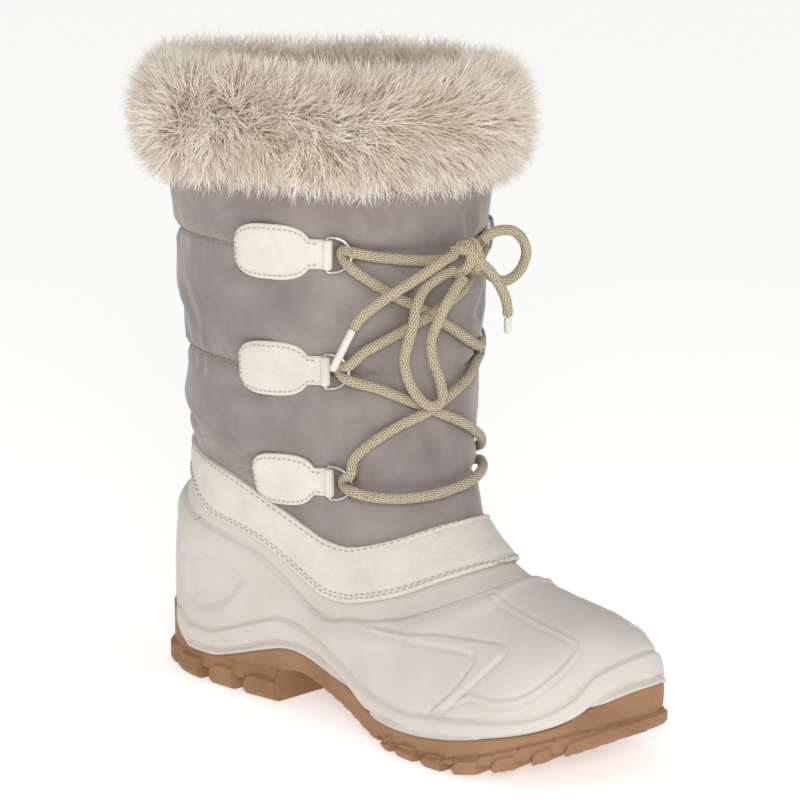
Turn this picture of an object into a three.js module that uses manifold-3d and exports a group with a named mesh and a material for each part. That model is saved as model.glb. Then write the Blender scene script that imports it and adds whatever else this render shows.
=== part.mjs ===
import * as THREE from "three";
import { mergeVertices } from "three/addons/utils/BufferGeometryUtils.js";
import Module from "manifold-3d";

const wasm = await Module();
wasm.setup();

// A right snow boot, in millimetres. X runs from heel to toe, Z is up, and -Y is the wearer's right.
// The tables below count X from the heel. At the end the whole boot is moved back by halfLong.
const halfLong = 136.7;
const heelTip = -2;
const toeTip = 280.5;
const toeStart = 215;
const toeSpring = { rise: 20, power: 1.7 };
const toeTurn = { start: 170, shift: 12, power: 4 };
const ankle = { low: 45, span: 65 };
const gap = 0.3;
const shellWall = 3.2;
const shaftWall = 7;
const shaftTop = 292;
const bandProud = 1.9;
const soleEdge = { tread: -2.5, low: 0.2, lowZ: 3.5, proud: 1, over: 8 };
const insoleThick = 5;
const shaftOverlap = 7;
const legAxisX = 88;
const frameStep = { turn: 4, rise: 6 };
const weldSize = 1e-4;
const sideSteps = 9;
const soleSteps = 34;
const reach = { from: -34, to: 316, step: 12, width: 110, top: 420, bottom: -60 };

// Half widths of the last at the sole, each side of the middle line.
const soleWidths = [
  { x: -2, lateral: 39.5, medial: 36.5 },
  { x: 60, lateral: 39.5, medial: 36.5 },
  { x: 100, lateral: 37.5, medial: 34 },
  { x: 135, lateral: 40, medial: 35 },
  { x: 170, lateral: 48.5, medial: 41.5 },
  { x: 200, lateral: 53.5, medial: 48.5 },
  { x: 225, lateral: 54.5, medial: 50.5 },
  { x: 281, lateral: 54.5, medial: 49.5 },
];

// The heel and calf line, with the half width and the roundness of the leg at each height.
const legSizes = [
  { z: -10, back: -2, half: 47, depth: 52, power: 2.3 },
  { z: 50, back: -2, half: 47, depth: 52, power: 2.3 },
  { z: 70, back: -0.5, half: 47, depth: 56, power: 2.3 },
  { z: 84, back: 2, half: 47.5, depth: 62, power: 2.2 },
  { z: 96, back: 7, half: 48.5, depth: 67, power: 2.1 },
  { z: 107, back: 12, half: 50.5, depth: 72, power: 2 },
  { z: 125, back: 14.5, half: 55.5, depth: 76, power: 2 },
  { z: 145, back: 15.5, half: 60.5, depth: 75.5, power: 2 },
  { z: 170, back: 16, half: 62.5, depth: 74, power: 2 },
  { z: 195, back: 14, half: 66, depth: 75, power: 2 },
  { z: 228, back: 12, half: 69, depth: 76, power: 2 },
  { z: 253, back: 10.9, half: 71.6, depth: 76.9, power: 2 },
  { z: 330, back: 9, half: 74, depth: 78, power: 2 },
];

// Sections of the last, from toe to collar: a line in side view from the toe, instep or shin
// to the sole, heel or calf. The vault is the share of it that is rounded over.
const sections = [
  { topX: 280.5, topZ: 46, baseX: 280.5, vault: 0.7, square: 2.2, steps: 1 },
  { topX: 279.6, topZ: 52, baseX: 279.6, vault: 0.7, square: 2.2, steps: 1 },
  { topX: 276.5, topZ: 58.5, baseX: 276.5, vault: 0.7, square: 2.2, steps: 1 },
  { topX: 270, topZ: 64, baseX: 270, vault: 0.72, square: 2.2, steps: 2 },
  { topX: 259, topZ: 69, baseX: 259, vault: 0.75, square: 2.2, steps: 2 },
  { topX: 244, topZ: 72.5, baseX: 244, vault: 0.78, square: 2.1, steps: 2 },
  { topX: 225, topZ: 76.5, baseX: 223, vault: 0.8, square: 2, steps: 2 },
  { topX: 207, topZ: 82, baseX: 200, vault: 0.78, square: 1.9, steps: 2 },
  { topX: 191.5, topZ: 91, baseX: 172, vault: 0.74, square: 1.85, steps: 2 },
  { topX: 180, topZ: 102, baseX: 142, vault: 0.68, square: 1.8, steps: 2 },
  { topX: 172.5, topZ: 114, baseX: 108, vault: 0.6, square: 1.8, steps: 1 },
  { topX: 168.5, topZ: 126, baseX: 74, vault: 0.54, square: 1.85, steps: 2 },
  { topX: 167, topZ: 136, baseX: 44, vault: 0.51, square: 1.9, steps: 1 },
  { topX: 166.5, topZ: 143, baseX: 18, vault: 0.5, square: 1.95, steps: 3 },
  { topX: 166, topZ: 148, baseX: -1.5, vault: 0.49, square: 2, steps: 1 },
  { topX: 165.8, topZ: 151, baseZ: 20, vault: 0.49, square: 2, steps: 1 },
  { topX: 165.5, topZ: 154, baseZ: 45, vault: 0.49, square: 2, steps: 1 },
  { topX: 165.4, topZ: 157, baseZ: 70, vault: 0.5, square: 2, steps: 1 },
  { topX: 165.3, topZ: 161, baseZ: 100, vault: 0.5, square: 2, steps: 1 },
  { topX: 165.2, topZ: 165.5, baseZ: 135, vault: 0.5, square: 2, steps: 2 },
  { topX: 165, topZ: 170, baseZ: 170, vault: 0.5, square: 2, steps: 3 },
  { topX: 164.7, topZ: 199, baseZ: 199, vault: 0.5, square: 2, steps: 2 },
  { topX: 164.6, topZ: 227, baseZ: 227, vault: 0.5, square: 2, steps: 2 },
  { topX: 164.7, topZ: 253, baseZ: 253, vault: 0.5, square: 2, steps: 1 },
  { topX: 165, topZ: 320, baseZ: 320, vault: 0.5, square: 2, steps: 1 },
];

// Where the rim of the outsole ends, in side view. It climbs the back of the heel and the toe.
const rimLine = [
  { x: 0, z: 58 },
  { x: 4, z: 50 },
  { x: 9, z: 38 },
  { x: 16, z: 25 },
  { x: 24, z: 18 },
  { x: 34, z: 15 },
  { x: 48, z: 15 },
  { x: 66, z: 19 },
  { x: 84, z: 24.5 },
  { x: 104, z: 29 },
  { x: 124, z: 26 },
  { x: 140, z: 21.5 },
  { x: 154, z: 17 },
  { x: 166, z: 13.2 },
  { x: 182, z: 12.4 },
  { x: 198, z: 13 },
  { x: 216, z: 15.5 },
  { x: 235, z: 19 },
  { x: 251, z: 22.5 },
  { x: 263, z: 27 },
  { x: 273, z: 36 },
  { x: 281, z: 41.5 },
];

// The footbed, and the hollow under the arch.
const footbed = [
  { x: 0, z: 27 },
  { x: 40, z: 26.5 },
  { x: 80, z: 25.5 },
  { x: 110, z: 24.5 },
  { x: 140, z: 18.5 },
  { x: 165, z: 13.5 },
  { x: 190, z: 12 },
  { x: 215, z: 12.5 },
  { x: 240, z: 15.5 },
  { x: 262, z: 20 },
  { x: 281, z: 25.5 },
];
const arch = [
  { x: 93, z: -5 },
  { x: 94.5, z: 14 },
  { x: 101, z: 17.8 },
  { x: 110, z: 19 },
  { x: 120, z: 17.4 },
  { x: 135, z: 12.9 },
  { x: 150, z: 8.6 },
  { x: 165, z: 4.2 },
  { x: 176, z: 0 },
  { x: 178, z: -5 },
];

// Upper and lower edge of the ankle band in side view.
const bandTop = [
  { x: 10, z: 122 },
  { x: 30, z: 119.5 },
  { x: 54, z: 116.5 },
  { x: 72, z: 114 },
  { x: 93, z: 106.5 },
  { x: 116, z: 95 },
  { x: 132, z: 88.8 },
  { x: 141, z: 87.7 },
  { x: 149, z: 89 },
  { x: 165, z: 94.3 },
  { x: 179, z: 100.8 },
  { x: 190, z: 104 },
];
const bandBottom = [
  { x: 10, z: 107 },
  { x: 22, z: 105 },
  { x: 37, z: 99 },
  { x: 54, z: 89 },
  { x: 70, z: 85.5 },
  { x: 86, z: 81.5 },
  { x: 102, z: 73.5 },
  { x: 117, z: 65.7 },
  { x: 130, z: 61.2 },
  { x: 140, z: 61 },
  { x: 150, z: 62.8 },
  { x: 172, z: 69.5 },
  { x: 191, z: 79 },
  { x: 206, z: 86.3 },
  { x: 220, z: 93 },
];

// Quilting seams of the shaft, with the padding proud between them.
const seamLevels = [62, 117, 170, 227, 276];
const puff = { proud: 1.8, sunk: 0.6, full: 0.5, clear: 2, run: 12 };

// Tread: cross grooves, their turn in degrees from straight across.
const grooveHigh = 30;
const grooves = [
  { x: 22, width: 5, depth: 6, turn: 12 },
  { x: 46, width: 6, depth: 6.5, turn: 8 },
  { x: 69, width: 6, depth: 7, turn: 4 },
  { x: 186, width: 4.5, depth: 5, turn: -10 },
  { x: 203, width: 5, depth: 5, turn: -8 },
  { x: 220, width: 5, depth: 5, turn: -4 },
  { x: 237, width: 5, depth: 5, turn: 4 },
  { x: 253, width: 5, depth: 5, turn: 10 },
  { x: 267, width: 4.5, depth: 4.5, turn: 16 },
];

// Lace tabs at plan angles round the leg, in degrees, and heights. Each is folded round a D-ring.
const tabRows = [
  { name: "top", z: 226, near: 83, fold: 46, ringZ: 226.3, lift: 1.7 },
  { name: "middle", z: 170.5, near: 84.5, fold: 46, ringZ: 172.2, lift: 1.7 },
  { name: "bottom", z: 116.5, near: 83, fold: 43, ringZ: 118.8, lift: 2.3 },
];
const tab = { thick: 1.8, high: 25.5, neckHigh: 13.5, middle: 0.42, round: 3, columns: 9 };
const fold = { out: 1.8, radius: 2.3, bore: 1.2, sides: 8 };
const dRing = { wire: 0.8, high: 8, long: 9, lead: 2, turn: 102, points: 9, sides: 5, steps: 13, bar: 0.55 };

// Fur collar: a thick ring over the top edge of the shaft.
const fur = { middle: 2.5, half: 15.5, low: 251, high: 313, square: 2.5, turns: 24, sides: 12 };

// The lace: bars and crossings held by the rings, then the knot, bow loops and ends that lie free.
const laceThick = 6;
const agletThick = 3.8;
const laceSides = 8;
const laceStep = 18;
const laceBars = {
  lace_bar_bottom: [
    [[150.5, -46.5, 116.5], [156.5, -43.5, 115], [163, -38.5, 114.3], [169, -31, 114], [174, -22, 114.5],
      [177, -12, 115.5], [178, 0, 117], [176.5, 12, 118], [172, 23, 118.5], [165.5, 32.5, 118.5],
      [158, 40.5, 118], [151, 46, 117.5]],
  ],
  lace_crossing_lower: [
    [[149.5, -47, 168], [158, -37.5, 164.5], [165.5, -25, 158.5], [169.5, -14, 153.5], [172, -3.5, 149],
      [172.5, 8, 144], [170, 20, 138.5], [165, 31, 133], [158, 39.5, 128], [151, 45.5, 124.5]],
    [[149, -46, 124], [149.5, -44.5, 131], [154.5, -39.5, 138], [163, -29.5, 146.5], [171.5, -19.5, 153],
      [173.5, -7, 159], [171.5, 8, 163.5], [167, 20.5, 166.5], [160, 32, 168.5], [151, 43.5, 169]],
  ],
  lace_crossing_upper: [
    [[151, -49, 220], [156.5, -42, 214], [163, -31, 206.5], [168, -18, 200], [170.5, -7, 193],
      [171, 5, 186.5], [169, 17, 181], [164.5, 28, 177.5], [158, 37.5, 176], [151.5, 44.5, 176]],
    [[149.5, -48.5, 175.5], [154.5, -43, 182], [163.5, -31, 190], [171.5, -19.5, 197.5], [173, -7, 203.5],
      [171.5, 5, 207.5], [168, 15.5, 211.5], [165, 26, 217.5], [159, 36, 220], [152.5, 44.5, 220.5]],
  ],
  lace_bar_top_lateral: [
    [[152.2, -48.4, 227.4], [158, -40, 225.5], [163, -31.5, 224.3], [167, -22, 223.2], [169.5, -14, 222.8]],
  ],
  lace_bar_top_medial: [
    [[152.5, 45, 227.5], [159, 37, 226.8], [164.5, 27.5, 226], [168.5, 17.5, 225.3], [170.5, 11, 225]],
  ],
};
const laceCords = {
  lace_loop_medial: [[177, 8, 230.5], [177.5, 14, 233.5], [177.5, 22, 234.5], [177, 31, 233],
    [176.5, 38, 228.5], [176, 41.5, 222], [175.5, 39.5, 215.5], [175.5, 34, 211.5], [175.5, 27, 210],
    [175.5, 20, 212], [175.5, 13.5, 215.5], [175, 8, 218]],
  lace_loop_hanging: [[175.5, -9, 218.5], [174.5, -16, 216.5], [172, -23.5, 211.5], [172, -29, 204],
    [172, -31, 195.5], [170, -32, 187], [167, -31, 178], [168.5, -29, 168], [171.5, -25, 160.5],
    [174.5, -20.5, 157], [177, -16, 159.5], [176, -16.5, 168], [173.5, -19, 178], [174.5, -21.5, 188],
    [179, -22, 197], [181.5, -19.5, 205], [181.5, -13.5, 211.5], [181, -8, 215.5]],
  lace_end_lateral: [[176.5, -9.5, 226], [177, -16, 224.5], [175.5, -24, 220.5], [171.5, -32.5, 215],
    [167, -39.5, 210], [162, -44.5, 205], [157, -48.5, 199.5], [153.5, -50.5, 194]],
  lace_end_medial: [[181.5, 6.5, 219.5], [182, 11, 215.5], [182, 16.5, 209.5], [182, 20.5, 203.5],
    [181.5, 22.7, 198.5], [181.5, 23, 195]],
};
const aglets = {
  aglet_lateral: [[153.3, -50.8, 193.5], [149.5, -53.5, 183.5], [145, -55.4, 173.5]],
  aglet_medial: [[181.5, 23, 194.5], [181.5, 23.3, 190.5], [181.5, 23.5, 186.5]],
};
const knot = { x: 176, y: -1, z: 224, halfX: 6, halfY: 8, halfZ: 7.5, turns: 12, levels: 8 };

// A smooth curve through a table, of one column against another, with no overshoot.
function curveOf(rows, by, of) {
  const x = rows.map((row) => row[by]);
  const y = rows.map((row) => row[of]);
  const rise = x.slice(1).map((value, i) => (y[i + 1] - y[i]) / (value - x[i]));
  const slope = x.map((value, i) => {
    if (i === 0) return rise[0];
    if (i === x.length - 1) return rise[i - 1];
    const product = rise[i - 1] * rise[i];
    return product <= 0 ? 0 : (2 * product) / (rise[i - 1] + rise[i]);
  });
  return (at) => {
    const value = Math.min(Math.max(at, x[0]), x[x.length - 1]);
    let i = x.length - 2;
    while (i > 0 && value < x[i]) i -= 1;
    const span = x[i + 1] - x[i];
    const t = (value - x[i]) / span;
    const ends = y[i] * (1 + 2 * t) * (1 - t) ** 2 + y[i + 1] * t ** 2 * (3 - 2 * t);
    return ends + span * t * (1 - t) * (slope[i] * (1 - t) - slope[i + 1] * t);
  };
}

const lateralHalf = curveOf(soleWidths, "x", "lateral");
const medialHalf = curveOf(soleWidths, "x", "medial");
const legBack = curveOf(legSizes, "z", "back");
const legHalf = curveOf(legSizes, "z", "half");
const legDepth = curveOf(legSizes, "z", "depth");
const legPower = curveOf(legSizes, "z", "power");

const clamp = (value) => Math.min(Math.max(value, 0), 1);
const ease = (value) => clamp(value) ** 2 * (3 - 2 * clamp(value));
const rounded = (share, power) => (1 - (1 - clamp(share)) ** power) ** (1 / power);
const springAt = (x) => toeSpring.rise * clamp((x - toeStart) / (toeTip - toeStart)) ** toeSpring.power;
const turnAt = (x) => clamp((x - toeTurn.start) / (toeTip - toeTurn.start));
const middleAt = (x) => toeTurn.shift * turnAt(x) ** toeTurn.power;

// Half width of the last at a place in side view, before the vault rounds it over.
function halfWidth(x, z, side) {
  const foot = side < 0 ? lateralHalf(x) : medialHalf(x);
  const leg = legHalf(z);
  const share = ease((z - ankle.low) / ankle.span);
  const toe = Math.sqrt(1 - clamp((x - toeStart) / (toeTip - toeStart)) ** 2);
  const back = rounded((x - legBack(z)) / legDepth(z), legPower(z));
  return (foot * (1 - share) + leg * share) * toe * back;
}

const rows = sections.map((row, index) => {
  const baseZ = row.baseZ ?? springAt(row.baseX);
  return { ...row, index, baseZ, baseX: row.baseX ?? legBack(baseZ) };
});
const sectionCurve = Object.fromEntries(
  ["topX", "topZ", "baseX", "baseZ", "vault", "square"].map((name) => [name, curveOf(rows, "index", name)]),
);
const stations = rows
  .slice(0, -1)
  .flatMap((row) => Array.from({ length: row.steps }, (_, i) => row.index + i / row.steps))
  .concat(rows.length - 1);

function lastPoint(station, t, side) {
  const at = (name) => sectionCurve[name](station);
  const x = at("topX") + t * (at("baseX") - at("topX"));
  const z = at("topZ") + t * (at("baseZ") - at("topZ"));
  const vault = rounded(t / at("vault"), at("square"));
  return [x, middleAt(x) + side * halfWidth(x, z, side) * vault, z];
}

// The closed form of the last, grown along its own normals by a size or by a rule of x and z.
function lastForm(grow) {
  const ring = 2 * sideSteps + 2;
  const points = stations.flatMap((station) =>
    Array.from({ length: ring }, (_, i) => {
      const side = i <= sideSteps ? -1 : 1;
      const turn = side < 0 ? i : ring - 1 - i;
      return lastPoint(station, (1 - Math.cos((Math.PI * turn) / sideSteps)) / 2, side);
    }),
  );
  const faces = [];
  for (let row = 0; row < stations.length - 1; row += 1) {
    for (let i = 0; i < ring; i += 1) {
      const [a, b] = [row * ring + i, row * ring + ((i + 1) % ring)];
      faces.push(a, a + ring, b, b, a + ring, b + ring);
    }
  }
  const last = (stations.length - 1) * ring;
  for (let i = 0; i < sideSteps; i += 1) {
    const [a, b, c, d] = [i, i + 1, ring - 2 - i, ring - 1 - i].map((place) => last + place);
    faces.push(a, d, b, b, d, c);
  }
  const form = weld(points, faces);
  form.computeVertexNormals();
  const place = form.getAttribute("position");
  const normal = form.getAttribute("normal");
  for (let i = 0; i < place.count; i += 1) {
    const [x, y, z] = [place.getX(i), place.getY(i), place.getZ(i)];
    const by = typeof grow === "function" ? grow(x, z) : grow;
    place.setXYZ(i, x + by * normal.getX(i), y + by * normal.getY(i), z + by * normal.getZ(i));
  }
  return solid(form);
}

// One geometry from points and faces, with doubled points merged and empty faces dropped.
function weld(points, faces) {
  const loose = new THREE.BufferGeometry();
  loose.setAttribute("position", new THREE.Float32BufferAttribute(points.flat(), 3));
  loose.setIndex(faces);
  const welded = mergeVertices(loose, weldSize);
  const index = Array.from(welded.getIndex().array);
  const kept = [];
  for (let i = 0; i < index.length; i += 3) {
    const [a, b, c] = index.slice(i, i + 3);
    if (a !== b && b !== c && c !== a) kept.push(a, b, c);
  }
  welded.setIndex(kept);
  return welded;
}

// A manifold solid from a closed geometry.
function solid(geometry) {
  const bare = new THREE.BufferGeometry();
  bare.setAttribute("position", geometry.getAttribute("position"));
  if (geometry.getIndex()) bare.setIndex(geometry.getIndex());
  const merged = mergeVertices(bare, weldSize);
  const vertProperties = Float32Array.from(merged.getAttribute("position").array);
  const triVerts = Uint32Array.from(merged.getIndex().array);
  return new wasm.Manifold(new wasm.Mesh({ numProp: 3, vertProperties, triVerts }));
}

// A side view line carried across the whole width, filled up or down to a level.
function besideLine(line, level) {
  const outline = new THREE.Shape();
  outline.moveTo(reach.from, level);
  for (let x = reach.from; x <= reach.to; x += reach.step) outline.lineTo(x, line(x));
  outline.lineTo(reach.to, level);
  const block = new THREE.ExtrudeGeometry(outline, { depth: 2 * reach.width, bevelEnabled: false });
  block.rotateX(Math.PI / 2);
  block.translate(0, reach.width, 0);
  return solid(block);
}
const above = (line) => besideLine(line, reach.top);
const below = (line) => besideLine(line, reach.bottom);

// Where a level line from the leg's axis leaves the last, and the frame of its surface there.
const castForm = (() => {
  const mesh = lastForm(0).getMesh();
  const geometry = new THREE.BufferGeometry();
  geometry.setAttribute("position", new THREE.BufferAttribute(mesh.vertProperties, 3));
  geometry.setIndex(new THREE.BufferAttribute(mesh.triVerts, 1));
  return new THREE.Mesh(geometry, new THREE.MeshBasicMaterial());
})();
function legPoint(angle, z) {
  const turn = THREE.MathUtils.degToRad(angle);
  const out = new THREE.Vector3(Math.cos(turn), Math.sin(turn), 0);
  const start = new THREE.Vector3(legAxisX, 0, z).addScaledVector(out, reach.width * 2);
  return new THREE.Raycaster(start, out.negate()).intersectObject(castForm)[0].point;
}
function legFrame(angle, z) {
  const { turn, rise: high } = frameStep;
  const across = legPoint(angle + turn, z).sub(legPoint(angle - turn, z)).normalize();
  const rise = legPoint(angle, z + high).sub(legPoint(angle, z - high)).normalize();
  const out = new THREE.Vector3().crossVectors(across, rise).normalize();
  const up = new THREE.Vector3().crossVectors(out, across).normalize();
  return { at: legPoint(angle, z), across, out, up };
}

// Outsole: a wall round the last's outline from tread to rim, joined to a heel pad inside the shell.
const soleX = (turn) => heelTip + turn * (toeTip - heelTip);
function soleWall() {
  const shareAt = (_, i) => (1 - Math.cos((Math.PI * i) / soleSteps)) / 2;
  const turns = Array.from({ length: soleSteps + 1 }, shareAt);
  const edge = (side) => {
    const outline = turns.map((turn) => {
      const x = soleX(turn);
      return new THREE.Vector2(x, middleAt(x) + side * halfWidth(x, 0, side));
    });
    return outline.map((point, i) => {
      if (i === 0) return { point, out: new THREE.Vector2(-1, 0) };
      if (i === soleSteps) return { point, out: new THREE.Vector2(1, 0) };
      const along = outline[i + 1].clone().sub(outline[i - 1]).normalize();
      return { point, out: new THREE.Vector2(-along.y, along.x).multiplyScalar(side) };
    });
  };
  const [lateral, medial] = [edge(-1), edge(1)];
  const levels = [
    { out: soleEdge.tread, z: (x) => springAt(x) },
    { out: soleEdge.low, z: (x) => springAt(x) + soleEdge.lowZ },
    { out: soleEdge.proud, z: (x) => rimTop(x) + soleEdge.over },
  ];
  const at = (end, level, x) => {
    const place = end.point.clone().addScaledVector(end.out, level.out);
    return [place.x, place.y, level.z(x)];
  };
  const points = turns.flatMap((turn, i) => {
    const x = soleX(turn);
    const up = levels.map((level) => at(lateral[i], level, x));
    const down = levels.toReversed().map((level) => at(medial[i], level, x));
    return [...up, ...down];
  });
  const ring = 2 * levels.length;
  const faces = [];
  for (let row = 0; row < soleSteps; row += 1) {
    for (let i = 0; i < ring; i += 1) {
      const [a, b] = [row * ring + i, row * ring + ((i + 1) % ring)];
      faces.push(a, a + ring, b, b, a + ring, b + ring);
    }
  }
  return solid(weld(points, faces));
}
function grooveBox({ x, width, depth, turn }) {
  const block = new THREE.BoxGeometry(width, 2 * reach.width, grooveHigh);
  block.rotateZ(THREE.MathUtils.degToRad(turn));
  block.translate(x, 0, springAt(x) + depth - grooveHigh / 2);
  return solid(block);
}

const rimTop = curveOf(rimLine, "x", "z");
const footbedTop = curveOf(footbed, "x", "z");
const bandUpper = curveOf(bandTop, "x", "z");
const bandLower = curveOf(bandBottom, "x", "z");
const joint = (x) => bandUpper(x) - shaftOverlap;

// A side view line moved up so that the gap square to it has a given size.
const raised = (line, by) => (x) => line(x) + by * Math.hypot(1, (line(x + 2) - line(x - 2)) / 4);

// How far the padding stands out of the last.
function puffAt(x, z) {
  const next = seamLevels.findIndex((level) => level > z);
  if (next < 1) return 0;
  const [low, high] = seamLevels.slice(next - 1, next + 1);
  const swell = Math.sin((Math.PI * (z - low)) / (high - low)) ** puff.full;
  return (swell * (puff.proud + puff.sunk) - puff.sunk) * ease((z - bandUpper(x) - puff.clear) / puff.run);
}

function makeOutsole() {
  const inner = lastForm(-shellWall - gap);
  const cup = inner.intersect(above(footbedTop));
  const wall = soleWall().intersect(below(rimTop));
  let sole = wall.subtract(cup).add(inner.intersect(below(footbedTop)));
  const hollow = new THREE.Shape(arch.map((row) => new THREE.Vector2(row.x, row.z)));
  const block = new THREE.ExtrudeGeometry(hollow, { depth: 2 * reach.width, bevelEnabled: false });
  block.rotateX(Math.PI / 2);
  block.translate(0, reach.width, 0);
  sole = sole.subtract(solid(block));
  for (const row of grooves) sole = sole.subtract(grooveBox(row));
  return sole;
}
const makeShell = () =>
  lastForm(0)
    .subtract(lastForm(-shellWall))
    .intersect(above(raised(rimTop, gap)))
    .intersect(below((x) => joint(x) - gap));
const makeShaft = () =>
  lastForm(puffAt)
    .subtract(lastForm(-shaftWall))
    .intersect(above(joint))
    .intersect(below(() => shaftTop));
const makeBand = () =>
  lastForm((x, z) => puffAt(x, z) + bandProud)
    .subtract(lastForm((x, z) => puffAt(x, z) + gap))
    .intersect(below(bandUpper))
    .intersect(above(bandLower));
const makeInsole = () =>
  lastForm(-shellWall - 2 * gap)
    .intersect(above((x) => footbedTop(x) + gap))
    .intersect(below((x) => footbedTop(x) + insoleThick));

function ellipsoid({ x, y, z, halfX, halfY, halfZ, turns, levels }) {
  const ball = new THREE.SphereGeometry(1, turns, levels);
  ball.scale(halfX, halfY, halfZ);
  ball.translate(x, y, z);
  return solid(ball);
}

// A round cord along a list of points.
function cordAlong(points, thick) {
  const route = new THREE.CatmullRomCurve3(points.map((point) => new THREE.Vector3(...point)));
  const steps = Math.max(3, Math.round(route.getLength() / laceStep) + 2);
  const section = new THREE.Shape();
  for (let i = 0; i < laceSides; i += 1) {
    const turn = (2 * Math.PI * i) / laceSides;
    section[i ? "lineTo" : "moveTo"]((thick / 2) * Math.cos(turn), (thick / 2) * Math.sin(turn));
  }
  return solid(new THREE.ExtrudeGeometry(section, { steps, extrudePath: route, bevelEnabled: false }));
}

// A closed body from rings of equal length, with its first and last ring joined, or closed by strips.
function loft(rings, joined) {
  const count = rings[0].length;
  const faces = [];
  const links = joined ? rings.length : rings.length - 1;
  for (let row = 0; row < links; row += 1) {
    const next = ((row + 1) % rings.length) * count;
    for (let i = 0; i < count; i += 1) {
      const [a, b] = [row * count + i, row * count + ((i + 1) % count)];
      const [c, d] = [next + i, next + ((i + 1) % count)];
      faces.push(a, c, b, b, c, d);
    }
  }
  if (!joined) {
    const last = (rings.length - 1) * count;
    for (let i = 1; i < count - 1; i += 1) faces.push(0, i, i + 1, last, last + i + 1, last + i);
  }
  return solid(weld(rings.flat(), faces));
}

// A tab laid on the leg: an oval that runs into a neck, then a fold bored for the ring's wire.
function makeTab(row, side) {
  const rings = Array.from({ length: tab.columns + 1 }, (_, i) => {
    const share = (i / tab.columns) ** 1.3;
    const angle = side * (row.near + (row.fold - row.near) * share);
    const z = row.z + (row.ringZ - row.z) * share;
    const off = Math.min(Math.abs(share / tab.middle - 1), 1);
    const oval = (tab.high / 2) * (1 - off ** tab.round) ** (1 / tab.round);
    const half = share < tab.middle ? oval : Math.max(oval, tab.neckHigh / 2);
    const { out } = legFrame(angle, z);
    const place = (level, lift) => legPoint(angle, level).addScaledVector(out, lift).toArray();
    const ring = [
      place(z - half, row.lift),
      place(z - half, row.lift + tab.thick),
      place(z + half, row.lift + tab.thick),
      place(z + half, row.lift),
    ];
    return side < 0 ? ring : ring.toReversed();
  });
  const hinge = (radius, high) => {
    const { at, up, out } = legFrame(side * row.fold, row.ringZ);
    const rod = new THREE.CylinderGeometry(radius, radius, high, fold.sides);
    rod.applyQuaternion(new THREE.Quaternion().setFromUnitVectors(new THREE.Vector3(0, 1, 0), up));
    rod.translate(...at.addScaledVector(out, row.lift + fold.out).toArray());
    return solid(rod);
  };
  return loft(rings, false).add(hinge(fold.radius, tab.neckHigh)).subtract(hinge(fold.bore, tab.high));
}

// A D-ring: a straight bar in the fold, and a bow towards the lace. A closed tube has no ends.
function makeRing(row, side) {
  const { at, across, up, out } = legFrame(side * row.fold, row.ringZ);
  const middle = at.clone().addScaledVector(out, row.lift + fold.out);
  const place = (u, v) => middle.clone().addScaledVector(across, -side * u).addScaledVector(up, v);
  const bow = Array.from({ length: dRing.points }, (_, i) => {
    const turn = THREE.MathUtils.degToRad(dRing.turn * ((2 * i) / (dRing.points - 1) - 1));
    return place(dRing.lead + dRing.long * Math.cos(turn), dRing.high * Math.sin(turn));
  });
  const start = dRing.lead + dRing.long * Math.cos(THREE.MathUtils.degToRad(dRing.turn));
  const bar = [dRing.bar, 0, -dRing.bar].map((share) => place(start, share * dRing.high));
  const path = new THREE.CatmullRomCurve3([...bow, ...bar], true);
  return solid(new THREE.TubeGeometry(path, dRing.steps, dRing.wire, dRing.sides, true));
}

// The collar's ring, round the leg and over the top edge, with the wall that it wraps cut out.
function makeFur() {
  const half = (fur.high - fur.low) / 2;
  const power = 2 / fur.square;
  const bent = (value) => Math.sign(value) * Math.abs(value) ** power;
  const rings = Array.from({ length: fur.turns }, (_, i) => {
    const angle = (360 * i) / fur.turns;
    const turn = THREE.MathUtils.degToRad(angle);
    return Array.from({ length: fur.sides }, (__, k) => {
      const around = (2 * Math.PI * k) / fur.sides;
      const z = fur.low + half * (1 + bent(Math.sin(around)));
      const lift = fur.middle + fur.half * bent(Math.cos(around));
      const { x, y } = legPoint(angle, z);
      return [x + lift * Math.cos(turn), y + lift * Math.sin(turn), z];
    });
  });
  const sleeve = lastForm((x, z) => puffAt(x, z) + gap)
    .subtract(lastForm(-shaftWall - gap))
    .intersect(below(() => shaftTop + gap))
    .intersect(above(() => fur.low - fur.half));
  return loft(rings, true).subtract(sleeve);
}

function look(color, roughness, metalness = 0) {
  return new THREE.MeshStandardMaterial({ color, roughness, metalness });
}
const looks = {
  gum: look("#9a7556", 0.8),
  moulding: look("#d9d0c8", 0.55),
  nylon: look("#9b908c", 0.85),
  leather: look("#dfdad0", 0.6),
  felt: look("#8a7a6a", 0.95),
  fur: look("#cdbfae", 1),
  steel: look("#c8c8c8", 0.2, 1),
  lace: look("#c2b48c", 0.8),
  plastic: look("#e8e4dc", 0.3),
};
const boot = new THREE.Group();

function addMesh(name, shape, material) {
  const mesh = shape.getMesh();
  const geometry = new THREE.BufferGeometry();
  geometry.setAttribute("position", new THREE.BufferAttribute(mesh.vertProperties, 3));
  geometry.setIndex(new THREE.BufferAttribute(mesh.triVerts, 1));
  geometry.computeVertexNormals();
  geometry.translate(-halfLong, 0, 0);
  const part = new THREE.Mesh(geometry, material);
  part.name = name;
  boot.add(part);
}

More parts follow.
